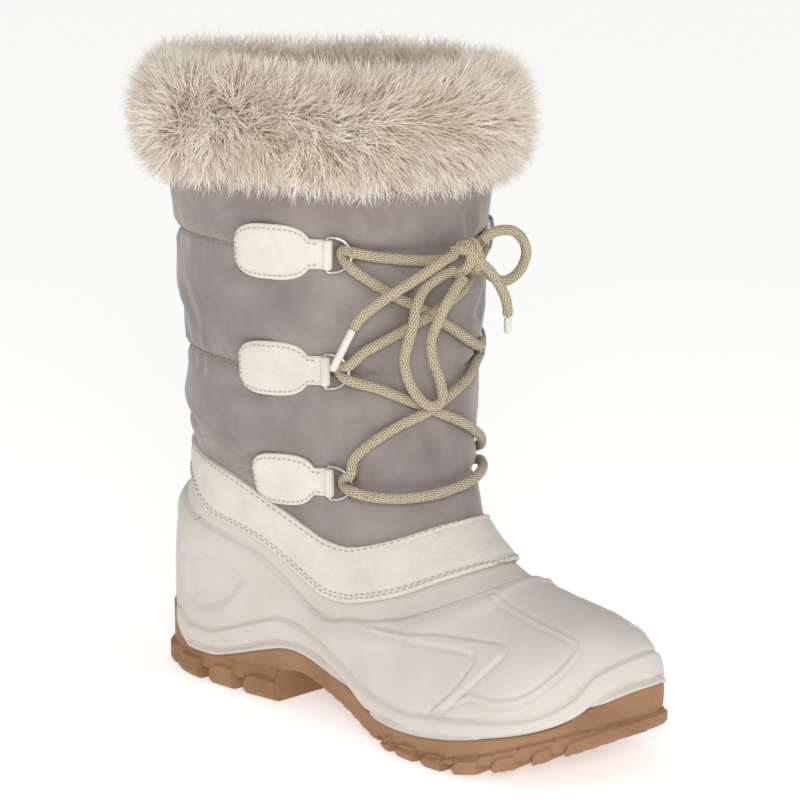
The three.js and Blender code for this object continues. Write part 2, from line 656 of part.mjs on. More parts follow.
addMesh("outsole", makeOutsole(), looks.gum);
addMesh("upper_shell", makeShell(), looks.moulding);
addMesh("upper_shaft", makeShaft(), looks.nylon);
addMesh("ankle_band", makeBand(), looks.leather);
addMesh("insole", makeInsole(), looks.felt);
addMesh("fur_collar", makeFur(), looks.fur);
for (const row of tabRows) {
  for (const [sideName, side] of [["lateral", -1], ["medial", 1]]) {
    addMesh(`tab_${row.name}_${sideName}`, makeTab(row, side), looks.leather);
    addMesh(`d_ring_${row.name}_${sideName}`, makeRing(row, side), looks.steel);
  }
}
for (const [name, runs] of Object.entries(laceBars)) {
  const shape = runs.map((run) => cordAlong(run, laceThick)).reduce((whole, run) => whole.add(run));
  addMesh(name, shape, looks.lace);
}
addMesh("lace_knot", ellipsoid(knot), looks.lace);
for (const [name, points] of Object.entries(laceCords)) {
  addMesh(name, cordAlong(points, laceThick), looks.lace);
}
for (const [name, points] of Object.entries(aglets)) {
  addMesh(name, cordAlong(points, agletThick), looks.plastic);
}

export default boot;
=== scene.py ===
import math

import bmesh
import bpy
import numpy as np
from mathutils import Matrix, Vector
from mathutils.bvhtree import BVHTree


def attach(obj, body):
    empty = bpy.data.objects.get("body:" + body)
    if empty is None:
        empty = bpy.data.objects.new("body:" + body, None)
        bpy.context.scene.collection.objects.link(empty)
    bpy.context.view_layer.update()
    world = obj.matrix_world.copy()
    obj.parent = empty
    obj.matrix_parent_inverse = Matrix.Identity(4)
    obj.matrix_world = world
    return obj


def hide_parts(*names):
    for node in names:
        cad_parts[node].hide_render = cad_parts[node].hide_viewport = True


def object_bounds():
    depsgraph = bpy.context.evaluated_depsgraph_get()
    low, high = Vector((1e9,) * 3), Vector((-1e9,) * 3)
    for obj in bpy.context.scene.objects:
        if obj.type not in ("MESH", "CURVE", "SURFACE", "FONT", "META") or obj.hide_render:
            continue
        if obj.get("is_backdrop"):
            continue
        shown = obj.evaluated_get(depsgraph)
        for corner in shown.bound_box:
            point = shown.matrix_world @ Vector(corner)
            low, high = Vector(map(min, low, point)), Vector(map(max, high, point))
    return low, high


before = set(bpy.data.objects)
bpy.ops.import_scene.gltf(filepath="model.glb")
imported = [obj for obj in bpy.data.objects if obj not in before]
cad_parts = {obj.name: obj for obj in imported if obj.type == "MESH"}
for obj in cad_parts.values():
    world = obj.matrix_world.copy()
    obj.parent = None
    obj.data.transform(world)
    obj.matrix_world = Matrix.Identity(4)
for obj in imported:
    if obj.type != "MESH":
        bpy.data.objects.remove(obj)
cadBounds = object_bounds()
print("frame loaded", len(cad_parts), "nodes")

# Sizes are in millimetres, counted from the heel; toFrame() moves them back and makes them metres.
boot = {
    "halfLong": 136.7,
    "heelTip": -2.0,
    "toeTip": 280.5,
    "toeStart": 215.0,
    "springRise": 20.0,
    "springPower": 1.7,
    "turnStart": 170.0,
    "turnShift": 12.0,
    "turnPower": 4.0,
    "ankleLow": 45.0,
    "ankleSpan": 65.0,
    "legAxisX": 88.0,
    "legRadius": 72,  # for lengths measured round the leg
}
soleWidths = [  # x, lateral half, medial half
    (-2, 39.5, 36.5), (60, 39.5, 36.5), (100, 37.5, 34), (135, 40, 35),
    (170, 48.5, 41.5), (200, 53.5, 48.5), (225, 54.5, 50.5), (281, 54.5, 49.5),
]
legSizes = [  # z, back, half width, depth, roundness
    (-10, -2, 47, 52, 2.3), (50, -2, 47, 52, 2.3), (70, -0.5, 47, 56, 2.3), (84, 2, 47.5, 62, 2.2),
    (96, 7, 48.5, 67, 2.1), (107, 12, 50.5, 72, 2), (125, 14.5, 55.5, 76, 2), (145, 15.5, 60.5, 75.5, 2),
    (170, 16, 62.5, 74, 2), (195, 14, 66, 75, 2), (228, 12, 69, 76, 2), (253, 10.9, 71.6, 76.9, 2),
    (330, 9, 74, 78, 2),
]
sections = [  # topX, topZ, baseX, baseZ, vault, roundness, from toe to collar
    (280.5, 46, 280.5, None, 0.7, 2.2), (279.6, 52, 279.6, None, 0.7, 2.2),
    (276.5, 58.5, 276.5, None, 0.7, 2.2), (270, 64, 270, None, 0.72, 2.2),
    (259, 69, 259, None, 0.75, 2.2), (244, 72.5, 244, None, 0.78, 2.1),
    (225, 76.5, 223, None, 0.8, 2), (207, 82, 200, None, 0.78, 1.9),
    (191.5, 91, 172, None, 0.74, 1.85), (180, 102, 142, None, 0.68, 1.8),
    (172.5, 114, 108, None, 0.6, 1.8), (168.5, 126, 74, None, 0.54, 1.85),
    (167, 136, 44, None, 0.51, 1.9), (166.5, 143, 18, None, 0.5, 1.95),
    (166, 148, -1.5, None, 0.49, 2), (165.8, 151, None, 20, 0.49, 2),
    (165.5, 154, None, 45, 0.49, 2), (165.4, 157, None, 70, 0.5, 2),
    (165.3, 161, None, 100, 0.5, 2), (165.2, 165.5, None, 135, 0.5, 2),
    (165, 170, None, 170, 0.5, 2), (164.7, 199, None, 199, 0.5, 2),
    (164.6, 227, None, 227, 0.5, 2), (164.7, 253, None, 253, 0.5, 2), (165, 320, None, 320, 0.5, 2),
]


# A smooth curve through a table's rows, with no overshoot.
def curveOf(x, y):
    x = np.asarray(x, float)
    y = np.asarray(y, float)
    rise = np.diff(y) / np.diff(x)
    slope = np.concatenate([rise[:1], np.zeros(len(x) - 2), rise[-1:]])
    product = rise[:-1] * rise[1:]
    total = np.where(product > 0, rise[:-1] + rise[1:], 1)
    slope[1:-1] = np.where(product > 0, 2 * product / total, 0)

    def at(value):
        value = np.clip(value, x[0], x[-1])
        i = np.clip(np.searchsorted(x, value, side="right") - 1, 0, len(x) - 2)
        span = x[i + 1] - x[i]
        t = (value - x[i]) / span
        ends = y[i] * (1 + 2 * t) * (1 - t) ** 2 + y[i + 1] * t ** 2 * (3 - 2 * t)
        return ends + span * t * (1 - t) * (slope[i] * (1 - t) - slope[i + 1] * t)

    return at


def lineOf(pairs):
    return curveOf([pair[0] for pair in pairs], [pair[1] for pair in pairs])


def clamp(value):
    return np.clip(value, 0, 1)


def ease(value):
    return clamp(value) ** 2 * (3 - 2 * clamp(value))


def rounded(share, power):
    return (1 - (1 - clamp(share)) ** power) ** (1 / power)


def bump(distance, width):
    return np.exp(-((distance / width) ** 2))


def between(value, low, high, soft):
    return ease((value - low) / soft + 0.5) * ease((high - value) / soft + 0.5)


widthTable = np.array(soleWidths, float).T
lateralHalf = curveOf(widthTable[0], widthTable[1])
medialHalf = curveOf(widthTable[0], widthTable[2])
legTable = np.array(legSizes, float).T
legBack, legHalf, legDepth, legPower = [curveOf(legTable[0], legTable[i]) for i in range(1, 5)]


def springAt(x):
    run = (x - boot["toeStart"]) / (boot["toeTip"] - boot["toeStart"])
    return boot["springRise"] * clamp(run) ** boot["springPower"]


def middleAt(x):
    run = (x - boot["turnStart"]) / (boot["toeTip"] - boot["turnStart"])
    return boot["turnShift"] * clamp(run) ** boot["turnPower"]


def halfWidth(x, z, side):
    foot = lateralHalf(x) if side < 0 else medialHalf(x)
    share = ease((z - boot["ankleLow"]) / boot["ankleSpan"])
    toe = np.sqrt(1 - clamp((x - boot["toeStart"]) / (boot["toeTip"] - boot["toeStart"])) ** 2)
    back = rounded((x - legBack(z)) / legDepth(z), legPower(z))
    return (foot * (1 - share) + legHalf(z) * share) * toe * back


def sectionRows():
    rows = []
    for topX, topZ, baseX, baseZ, vault, power in sections:
        baseZ = float(springAt(baseX)) if baseZ is None else baseZ
        baseX = float(legBack(baseZ)) if baseX is None else baseX
        rows.append((topX, topZ, baseX, baseZ, vault, power))
    return np.array(rows, float).T


sectionCurves = [curveOf(np.arange(len(sections)), row) for row in sectionRows()]


# A point of the last: the section, the share of the way down it, and the side of the foot.
def lastPoint(station, share, side):
    topX, topZ, baseX, baseZ, vault, power = [curve(station) for curve in sectionCurves]
    x = topX + share * (baseX - topX)
    z = topZ + share * (baseZ - topZ)
    y = middleAt(x) + side * halfWidth(x, z, side) * rounded(share / vault, power)
    return np.stack([x, y, z], -1)


rimTop = lineOf([
    (0, 58), (4, 50), (9, 38), (16, 25), (24, 18), (34, 15), (48, 15), (66, 19), (84, 24.5), (104, 29),
    (124, 26), (140, 21.5), (154, 17), (166, 13.2), (182, 12.4), (198, 13), (216, 15.5), (235, 19),
    (251, 22.5), (263, 27), (273, 36), (281, 41.5),
])
footbedTop = lineOf([
    (0, 27), (40, 26.5), (80, 25.5), (110, 24.5), (140, 18.5), (165, 13.5), (190, 12), (215, 12.5),
    (240, 15.5), (262, 20), (281, 25.5),
])
archLine = lineOf([
    (93, -5), (94.5, 14), (101, 17.8), (110, 19), (120, 17.4), (135, 12.9), (150, 8.6), (165, 4.2),
    (176, 0), (178, -5),
])
bandUpper = lineOf([
    (10, 122), (30, 119.5), (54, 116.5), (72, 114), (93, 106.5), (116, 95), (132, 88.8), (141, 87.7),
    (149, 89), (165, 94.3), (179, 100.8), (190, 104),
])
bandLower = lineOf([
    (10, 107), (22, 105), (37, 99), (54, 89), (70, 85.5), (86, 81.5), (102, 73.5), (117, 65.7),
    (130, 61.2), (140, 61), (150, 62.8), (172, 69.5), (191, 79), (206, 86.3), (220, 93),
])
seamLevels = [62, 117, 170, 227, 276]
padding = {"proud": 2.6, "sunk": 0.8, "clear": 2, "run": 12}


def toFrame(points):
    return (np.asarray(points, float) - [boot["halfLong"], 0, 0]) / 1000


def unit(vectors):
    return vectors / np.maximum(np.linalg.norm(vectors, axis=-1, keepdims=True), 1e-9)


# One point for all that lie within a hundredth of a millimetre, and no empty triangles.
def weld(points, faces):
    keys = np.round(points * 50).astype(np.int64)
    _, first, inverse = np.unique(keys, axis=0, return_index=True, return_inverse=True)
    faces = inverse.reshape(-1)[faces]
    a, b, c = faces.T
    return points[first], faces[(a != b) & (b != c) & (c != a)]


def gridFaces(rows, columns, wrapRows=False, wrapColumns=False, start=0):
    i = np.arange(rows if wrapRows else rows - 1)
    j = np.arange(columns if wrapColumns else columns - 1)
    i, j = [grid.ravel() for grid in np.meshgrid(i, j, indexing="ij")]
    down, across = (i + 1) % rows, (j + 1) % columns
    a, b = i * columns + j, i * columns + across
    c, d = down * columns + across, down * columns + j
    return start + np.concatenate([np.stack([a, b, c], 1), np.stack([a, c, d], 1)])


def vertexNormals(points, faces):
    a, b, c = points[faces[:, 0]], points[faces[:, 1]], points[faces[:, 2]]
    across = np.cross(b - a, c - a)
    normals = np.zeros_like(points)
    for corner in range(3):
        np.add.at(normals, faces[:, corner], across)
    return unit(normals)


def addPiece(name, points, faces, material, uv=None, sharp=50):
    mesh = bpy.data.meshes.new(name)
    mesh.from_pydata(toFrame(points).tolist(), [], np.asarray(faces).tolist())
    if uv is not None:
        layer = mesh.uv_layers.new(name="surface")
        corners = np.zeros(len(mesh.loops), int)
        mesh.loops.foreach_get("vertex_index", corners)
        layer.data.foreach_set("uv", np.asarray(uv, float)[corners].ravel())
    mesh.polygons.foreach_set("use_smooth", [True] * len(mesh.polygons))
    if sharp:
        mesh.set_sharp_from_angle(angle=math.radians(sharp))
    mesh.materials.append(material)
    piece = bpy.data.objects.new(name, mesh)
    bpy.context.scene.collection.objects.link(piece)
    return piece


def settle(piece, slot, *nodes):
    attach(piece, "root")
    if nodes:
        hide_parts(*nodes)
    print("made", piece.name, len(piece.data.polygons))


# Materials. Patterns are given in millimetres and read Object coordinates or the piece's own UV map.
def linear(code):
    parts = [int(code[i:i + 2], 16) / 255 for i in (1, 3, 5)]
    return tuple(p / 12.92 if p <= 0.04045 else ((p + 0.055) / 1.055) ** 2.4 for p in parts) + (1.0,)


def perMetre(size):
    return 1000 / size


def addNode(tree, kind, inputs=None, **settings):
    node = tree.nodes.new(kind)
    for name, value in settings.items():
        setattr(node, name, value)
    for name, value in (inputs or {}).items():
        if isinstance(value, bpy.types.NodeSocket):
            tree.links.new(value, node.inputs[name])
        else:
            node.inputs[name].default_value = value
    return node


def newMaterial(name, **gloss):
    material = bpy.data.materials.new(name)
    material.use_nodes = True
    tree = material.node_tree
    shader = tree.nodes["Principled BSDF"]
    for socket, value in gloss.items():
        shader.inputs[socket.replace("_", " ")].default_value = value
    place = addNode(tree, "ShaderNodeTexCoord")
    return material, tree, shader, place


def ramp(tree, value, stops):
    node = addNode(tree, "ShaderNodeValToRGB", {0: value})
    while len(node.color_ramp.elements) < len(stops):
        node.color_ramp.elements.new(0.5)
    for element, (position, code) in zip(node.color_ramp.elements, stops):
        element.position = position
        element.color = linear(code)
    return node.outputs[0]


def noise(tree, place, size, detail=3.0, rough=0.5, warp=0.0):
    return addNode(tree, "ShaderNodeTexNoise", {
        "Vector": place, "Scale": perMetre(size), "Detail": detail, "Roughness": rough, "Distortion": warp,
    }).outputs[0]


def math2(tree, operation, first, second):
    return addNode(tree, "ShaderNodeMath", {0: first, 1: second}, operation=operation).outputs[0]


def mapTo(tree, value, low, high):
    return addNode(tree, "ShaderNodeMapRange", {"Value": value, "To Min": low, "To Max": high}).outputs[0]


def relief(tree, shader, *layers):
    normal = None
    for height, depth in layers:  # depth in millimetres
        inputs = {"Height": height, "Distance": depth / 1000, "Strength": 1.0}
        if normal:
            inputs["Normal"] = normal
        normal = addNode(tree, "ShaderNodeBump", inputs).outputs[0]
    tree.links.new(normal, shader.inputs["Normal"])


def gumRubber():  # dull warm brown, a little bloom and fine mould grain
    material, tree, shader, place = newMaterial("gum rubber", Specular_IOR_Level=0.35)
    at = place.outputs["Object"]
    clouds = noise(tree, at, 38, 4)
    tree.links.new(ramp(tree, clouds, [(0.25, "#8a6547"), (0.5, "#9f7858"), (0.78, "#ad8767")]),
                   shader.inputs["Base Color"])
    tree.links.new(mapTo(tree, noise(tree, at, 6), 0.55, 0.78), shader.inputs["Roughness"])
    relief(tree, shader, (noise(tree, at, 0.9, 4, 0.6), 0.12), (noise(tree, at, 9, 2), 0.25))
    return material


def mouldedFoot():  # off-white moulded shell with a tight matt grain and a faint cloudy tone
    material, tree, shader, place = newMaterial("moulded foot", Specular_IOR_Level=0.45)
    at = place.outputs["Object"]
    clouds = noise(tree, at, 45, 4)
    tree.links.new(ramp(tree, clouds, [(0.2, "#d0c6bd"), (0.5, "#dad1c9"), (0.8, "#e2dad3")]),
                   shader.inputs["Base Color"])
    grain = addNode(tree, "ShaderNodeTexVoronoi", {"Vector": at, "Scale": perMetre(0.75)}, feature="F1")
    tree.links.new(mapTo(tree, noise(tree, at, 5), 0.44, 0.58), shader.inputs["Roughness"])
    relief(tree, shader, (grain.outputs["Distance"], 0.05), (noise(tree, at, 3, 3), 0.08))
    return material


def shaftNylon():  # brushed twill over soft padding, paler where it turns away
    gloss = {"Sheen_Weight": 0.55, "Sheen_Roughness": 0.4, "Specular_IOR_Level": 0.25}
    material, tree, shader, place = newMaterial("shaft nylon", **gloss)
    shader.inputs["Sheen Tint"].default_value = linear("#efe6dd")
    at = place.outputs["Object"]
    cloth = place.outputs["UV"]
    warp = addNode(tree, "ShaderNodeTexWave", {
        "Vector": cloth, "Scale": perMetre(2.2), "Distortion": 0.8, "Detail": 2.0, "Detail Scale": 2.0,
    }, wave_type="BANDS", bands_direction="DIAGONAL")
    weft = addNode(tree, "ShaderNodeTexWave", {
        "Vector": cloth, "Scale": perMetre(2.8), "Distortion": 1.2, "Detail": 2.0,
    }, wave_type="BANDS", bands_direction="Y")
    weave = math2(tree, "ADD", warp.outputs["Fac"], weft.outputs["Fac"])
    tone = math2(tree, "ADD", math2(tree, "MULTIPLY", weave, 0.06), noise(tree, at, 30, 5, 0.55))
    tree.links.new(ramp(tree, tone, [(0.3, "#817672"), (0.58, "#958a86"), (0.9, "#a89e99")]),
                   shader.inputs["Base Color"])
    tree.links.new(mapTo(tree, noise(tree, at, 4), 0.68, 0.85), shader.inputs["Roughness"])
    relief(tree, shader, (weave, 0.035), (noise(tree, at, 9, 4, 0.6), 0.55))
    return material


def coatedLeather(name, pale, mid, dark):  # coated split leather: pebbled, slightly glossy, cut edges fray
    material, tree, shader, place = newMaterial(name, Specular_IOR_Level=0.4)
    at = place.outputs["Object"]
    pebble = addNode(tree, "ShaderNodeTexVoronoi", {"Vector": at, "Scale": perMetre(1.3)}, feature="F1")
    clouds = math2(tree, "ADD", noise(tree, at, 16, 5, 0.6), math2(tree, "MULTIPLY", pebble.outputs[0], 0.15))
    tree.links.new(ramp(tree, clouds, [(0.3, dark), (0.55, mid), (0.8, pale)]), shader.inputs["Base Color"])
    tree.links.new(mapTo(tree, noise(tree, at, 3), 0.45, 0.66), shader.inputs["Roughness"])
    relief(tree, shader, (pebble.outputs["Distance"], 0.14), (noise(tree, at, 0.5, 3), 0.05))
    return material


def sewingThread(name, dark, pale):
    material, tree, shader, place = newMaterial(name, Sheen_Weight=0.2, Specular_IOR_Level=0.3)
    ply = noise(tree, place.outputs["Object"], 0.6, 2)
    tree.links.new(ramp(tree, ply, [(0.3, dark), (0.7, pale)]), shader.inputs["Base Color"])
    shader.inputs["Roughness"].default_value = 0.75
    relief(tree, shader, (ply, 0.1))
    return material


def ringSteel():  # polished wire with a faint haze of handling
    material, tree, shader, place = newMaterial("ring steel", Metallic=1.0)
    haze = noise(tree, place.outputs["Object"], 4, 4)
    tree.links.new(ramp(tree, haze, [(0.3, "#b9b8b6"), (0.7, "#d6d5d2")]), shader.inputs["Base Color"])
    tree.links.new(mapTo(tree, haze, 0.1, 0.26), shader.inputs["Roughness"])
    relief(tree, shader, (haze, 0.01))
    return material


def braidedLace():  # round braid in straw yarn, with dark flecks, a few bright ones, and painted shade in the dips between its strands
    material, tree, shader, place = newMaterial("braided lace", Sheen_Weight=0.3, Specular_IOR_Level=0.3)
    uv = addNode(tree, "ShaderNodeSeparateXYZ", {0: place.outputs["UV"]})
    along = math2(tree, "MULTIPLY", uv.outputs[0], 2 * math.pi / 3.2)
    around = math2(tree, "MULTIPLY", uv.outputs[1], 2 * math.pi * 6)
    left = math2(tree, "SINE", math2(tree, "ADD", along, around), 0.0)
    right = math2(tree, "SINE", math2(tree, "SUBTRACT", along, around), 0.0)
    cell = math2(tree, "MAXIMUM", left, right)
    gap = mapTo(tree, cell, 0.0, 1.0)
    fleck = noise(tree, place.outputs["Object"], 1.6, 2, 0.7)
    # painted shade: the yarn colour darkens where the braid dips between its strands
    yarn = ramp(tree, gap, [(0.0, "#a98f66"), (0.3, "#d3bf95"), (0.7, "#efe2c0")])
    spots = ramp(tree, fleck, [(0.0, "#6e6047"), (0.3, "#94835f"), (0.36, "#ffffff"), (0.66, "#ffffff")])
    mixed = addNode(tree, "ShaderNodeMix", {"Factor": 0.85, 6: yarn, 7: spots}, data_type="RGBA",
                    blend_type="MULTIPLY")
    tree.links.new(mixed.outputs[2], shader.inputs["Base Color"])
    tree.links.new(mapTo(tree, fleck, 0.85, 0.5), shader.inputs["Roughness"])
    relief(tree, shader, (cell, 0.5), (noise(tree, place.outputs["Object"], 0.4, 2), 0.08))
    return material


def agletPlastic():
    material, tree, shader, place = newMaterial("aglet plastic", Specular_IOR_Level=0.5)
    haze = noise(tree, place.outputs["Object"], 3, 3)
    tree.links.new(ramp(tree, haze, [(0.3, "#ddd8cc"), (0.7, "#ece8df")]), shader.inputs["Base Color"])
    tree.links.new(mapTo(tree, haze, 0.22, 0.36), shader.inputs["Roughness"])
    relief(tree, shader, (haze, 0.03))
    return material


def furPile():  # brown at the root as painted shade deep in the pile, straw in the middle, pale at the tip
    material, tree, shader, place = newMaterial("fur pile", Sheen_Weight=0.4, Specular_IOR_Level=0.2)
    uv = addNode(tree, "ShaderNodeSeparateXYZ", {0: place.outputs["UV"]})
    tone = addNode(tree, "ShaderNodeAttribute", attribute_name="tone").outputs["Fac"]
    patch = noise(tree, place.outputs["Object"], 17, 3)
    level = uv.outputs[1]
    for shift, share in ((tone, 0.38), (patch, 0.7)):
        centred = math2(tree, "SUBTRACT", shift, 0.5)
        level = math2(tree, "ADD", level, math2(tree, "MULTIPLY", centred, share))
    # the darker root end of this ramp is painted shade deep in the pile, where the strands shade each other
    stops = [(0.0, "#c9b093"), (0.22, "#e2cfb5"), (0.5, "#f4e8d8"), (0.9, "#fff9f0")]
    tree.links.new(ramp(tree, level, stops), shader.inputs["Base Color"])
    shader.inputs["Roughness"].default_value = 0.8
    return material


# The pile's base under the strands, coloured darker brown as painted shade deep among the roots.
def pileGround():
    material, tree, shader, place = newMaterial("pile ground", Specular_IOR_Level=0.1)
    fuzz = noise(tree, place.outputs["Object"], 2.2, 4, 0.7)
    tree.links.new(ramp(tree, fuzz, [(0.3, "#9c866c"), (0.7, "#cdb99f")]), shader.inputs["Base Color"])
    shader.inputs["Roughness"].default_value = 1.0
    relief(tree, shader, (fuzz, 1.2))
    return material


def liningFelt():
    material, tree, shader, place = newMaterial("lining felt", Sheen_Weight=0.3, Specular_IOR_Level=0.1)
    at = place.outputs["Object"]
    fuzz = noise(tree, at, 1.4, 5, 0.75)
    tree.links.new(ramp(tree, fuzz, [(0.3, "#6f6152"), (0.7, "#9a8b7a")]), shader.inputs["Base Color"])
    shader.inputs["Roughness"].default_value = 0.95
    relief(tree, shader, (fuzz, 0.5), (noise(tree, at, 14, 2), 1.0))
    return material


def paleFloor():
    material, _, shader, _ = newMaterial("pale floor", Specular_IOR_Level=0.1)
    shader.inputs["Base Color"].default_value = linear("#f4f3f1")
    shader.inputs["Roughness"].default_value = 0.9
    shader.inputs["Emission Color"].default_value = (1, 1, 1, 1)  # a light table
    shader.inputs["Emission Strength"].default_value = 0.5
    return material


gum = gumRubber()
moulding = mouldedFoot()
nylon = shaftNylon()
bandSkin = coatedLeather("band leather", "#e5dfd5", "#e0dad0", "#d8d0c5")
tabSkin = coatedLeather("tab leather", "#e8e1d8", "#e3dbd1", "#dad1c6")
thread = sewingThread("seam thread", "#a1968a", "#c8beb1")
bandThread = sewingThread("band thread", "#a89c8b", "#c6bbab")
steel = ringSteel()
braid = braidedLace()
agletLook = agletPlastic()
pile = furPile()
ground = pileGround()
felt = liningFelt()
print("materials ready")

# Camera: a little above the boot's middle, from its outer side and front.
view = {
    "at": (0.85999, -0.92089, 0.41418),
    "towards": (0.001019, -0.002133, 0.151544),
    "roll": 1.0875,  # degrees
    "lens": 122.8,
}


def setCamera():
    data = bpy.data.cameras.new("camera")
    data.lens = view["lens"]
    data.sensor_width = 36
    data.clip_end = 60
    camera = bpy.data.objects.new("camera", data)
    bpy.context.scene.collection.objects.link(camera)
    look = Vector(view["towards"]) - Vector(view["at"])
    turn = look.to_track_quat("-Z", "Y").to_matrix() @ Matrix.Rotation(math.radians(view["roll"]), 3, "Z")
    camera.matrix_world = Matrix.Translation(view["at"]) @ turn.to_4x4()
    bpy.context.scene.camera = camera


def addLight(name, at, towards, size, power):
    data = bpy.data.lights.new(name, "AREA")
    data.shape = "DISK"
    data.size = size
    data.energy = power
    light = bpy.data.objects.new(name, data)
    bpy.context.scene.collection.objects.link(light)
    look = Vector(towards) - Vector(at)
    light.matrix_world = Matrix.Translation(at) @ look.to_track_quat("-Z", "Y").to_matrix().to_4x4()


def setStage():
    half, rise = 14.0, 0.0
    mesh = bpy.data.meshes.new("floor")
    mesh.from_pydata([(-half, -half, rise), (half, -half, rise), (half, half, rise), (-half, half, rise)],
                     [], [(0, 1, 2, 3)])
    mesh.materials.append(paleFloor())
    floor = bpy.data.objects.new("floor", mesh)
    bpy.context.scene.collection.objects.link(floor)
    floor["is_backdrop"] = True
    world = bpy.data.worlds.new("studio")
    world.use_nodes = True
    tree = world.node_tree
    tree.nodes["Background"].inputs["Color"].default_value = (1, 1, 1, 1)
    ray = addNode(tree, "ShaderNodeLightPath").outputs["Is Camera Ray"]  # plain white behind, softer light
    level = math2(tree, "MULTIPLY_ADD", ray, 0.52)
    level.node.inputs[2].default_value = 0.48
    tree.links.new(level, tree.nodes["Background"].inputs["Strength"])
    bpy.context.scene.world = world
    bpy.context.scene.view_settings.view_transform = "Standard"
    middle = (0, 0, 0.15)
    addLight("keyLight", (1.1, -1.1, 0.7), middle, 0.5, 9.5)
    addLight("sideLight", (-1.2, -0.9, 0.9), middle, 0.9, 0.6)
    addLight("toeLight", (1.4, 0.2, 0.6), middle, 0.8, 1.5)


setCamera()
setStage()


# Lace. One long run goes through the rings; the bow's loops and ends lie free in front.
lace = {"thick": 4.9, "agletThick": 3.6, "sides": 14, "step": 1.1, "pitch": 3.2}
laceRuns = {
    "barBottom": [
        (150.5, -46.5, 116.5), (156.5, -43.5, 115), (163, -38.5, 114.3), (169, -31, 114), (174, -22, 114.5),
        (177, -12, 115.5), (178, 0, 117), (176.5, 12, 118), (172, 23, 118.5), (165.5, 32.5, 118.5),
        (158, 40.5, 118), (151, 46, 117.5),
    ],
    "lowerToLateral": [
        (149.5, -47, 168), (158, -37.5, 164.5), (165.5, -25, 158.5), (169.5, -14, 153.5), (172, -3.5, 149),
        (172.5, 8, 144), (170, 20, 138.5), (165, 31, 133), (158, 39.5, 128), (151, 45.5, 124.5),
    ],
    "lowerToMedial": [
        (149, -46, 124), (149.5, -44.5, 131), (154.5, -39.5, 138), (163, -29.5, 146.5), (171.5, -19.5, 153),
        (173.5, -7, 159), (171.5, 8, 163.5), (167, 20.5, 166.5), (160, 32, 168.5), (151, 43.5, 169),
    ],
    "upperToLateral": [
        (151, -49, 220), (156.5, -42, 214), (163, -31, 206.5), (168, -18, 200), (170.5, -7, 193),
        (171, 5, 186.5), (169, 17, 181), (164.5, 28, 177.5), (158, 37.5, 176), (151.5, 44.5, 176),
    ],
    "upperToMedial": [
        (149.5, -48.5, 175.5), (154.5, -43, 182), (163.5, -31, 190), (171.5, -19.5, 197.5), (173, -7, 203.5),
        (171.5, 5, 207.5), (168, 15.5, 211.5), (165, 26, 217.5), (159, 36, 220), (152.5, 44.5, 220.5),
    ],
    "barTopLateral": [
        (152.2, -48.4, 227.4), (158, -40, 225.5), (163, -31.5, 224.3), (167, -22, 223.2), (169.5, -14, 222.8),
        (173, -7, 223),
    ],
    "barTopMedial": [
        (152.5, 45, 227.5), (159, 37, 226.8), (164.5, 27.5, 226), (168.5, 17.5, 225.3), (170.5, 11, 225),
        (174, 4, 224.5),
    ],
}
laceCords = {
    "laceLoopMedial": [
        (177, 8, 230.5), (177.5, 14, 233.5), (177.5, 22, 234.5), (177, 31, 233), (176.5, 38, 228.5),
        (176, 41.5, 222), (175.5, 39.5, 215.5), (175.5, 34, 211.5), (175.5, 27, 210), (175.5, 20, 212),
        (175.5, 13.5, 215.5), (175, 8, 218),
    ],
    "laceLoopHanging": [
        (175.5, -9, 218.5), (174.5, -16, 216.5), (172, -23.5, 211.5), (172, -29, 204), (172, -31, 195.5),
        (170, -32, 187), (167, -31, 178), (168.5, -29, 168), (171.5, -25, 160.5), (174.5, -20.5, 157),
        (177, -16, 159.5), (176, -16.5, 168), (173.5, -19, 178), (174.5, -21.5, 188), (179, -22, 197),
        (181.5, -19.5, 205), (181.5, -13.5, 211.5), (181, -8, 215.5),
    ],
    "laceEndLateral": [
        (176.5, -9.5, 226), (177, -16, 224.5), (175.5, -24, 220.5), (171.5, -32.5, 215), (167, -39.5, 210),
        (162, -44.5, 205), (157, -48.5, 199.5), (153.5, -50.5, 194),
    ],
    "laceEndMedial": [
        (178.5, -3, 224), (180.5, 2, 222.5), (181.5, 6.5, 219.5), (182, 11, 215.5), (182, 16.5, 209.5),
        (182, 20.5, 203.5), (181.5, 22.7, 198.5), (181.5, 23, 195),
    ],
}
agletPaths = {
    "agletLateral": [(153.3, -50.8, 193.5), (149.5, -53.5, 183.5), (145, -55.4, 173.5)],
    "agletMedial": [(181.5, 23, 194.5), (181.5, 23.3, 190.5), (181.5, 23.5, 186.5)],
}
knotWraps = [  # straps that lie over the knot, one across it and two round it
    [
        (173, -9, 219), (177, -6.5, 217.5), (180.5, -4, 221), (181, -3, 226), (178, -2.5, 230),
        (173.5, -3, 229),
    ],
    [
        (173.5, 5.5, 219), (177.5, 3, 218), (181, 2, 221.5), (181.2, 1.5, 226.5), (178, 2, 230.5),
        (173, 3, 229.5),
    ],
    [(174, -8.5, 227), (178.5, -5, 228), (181.5, -0.5, 225), (180.8, 4, 221), (176, 7.5, 219)],
]


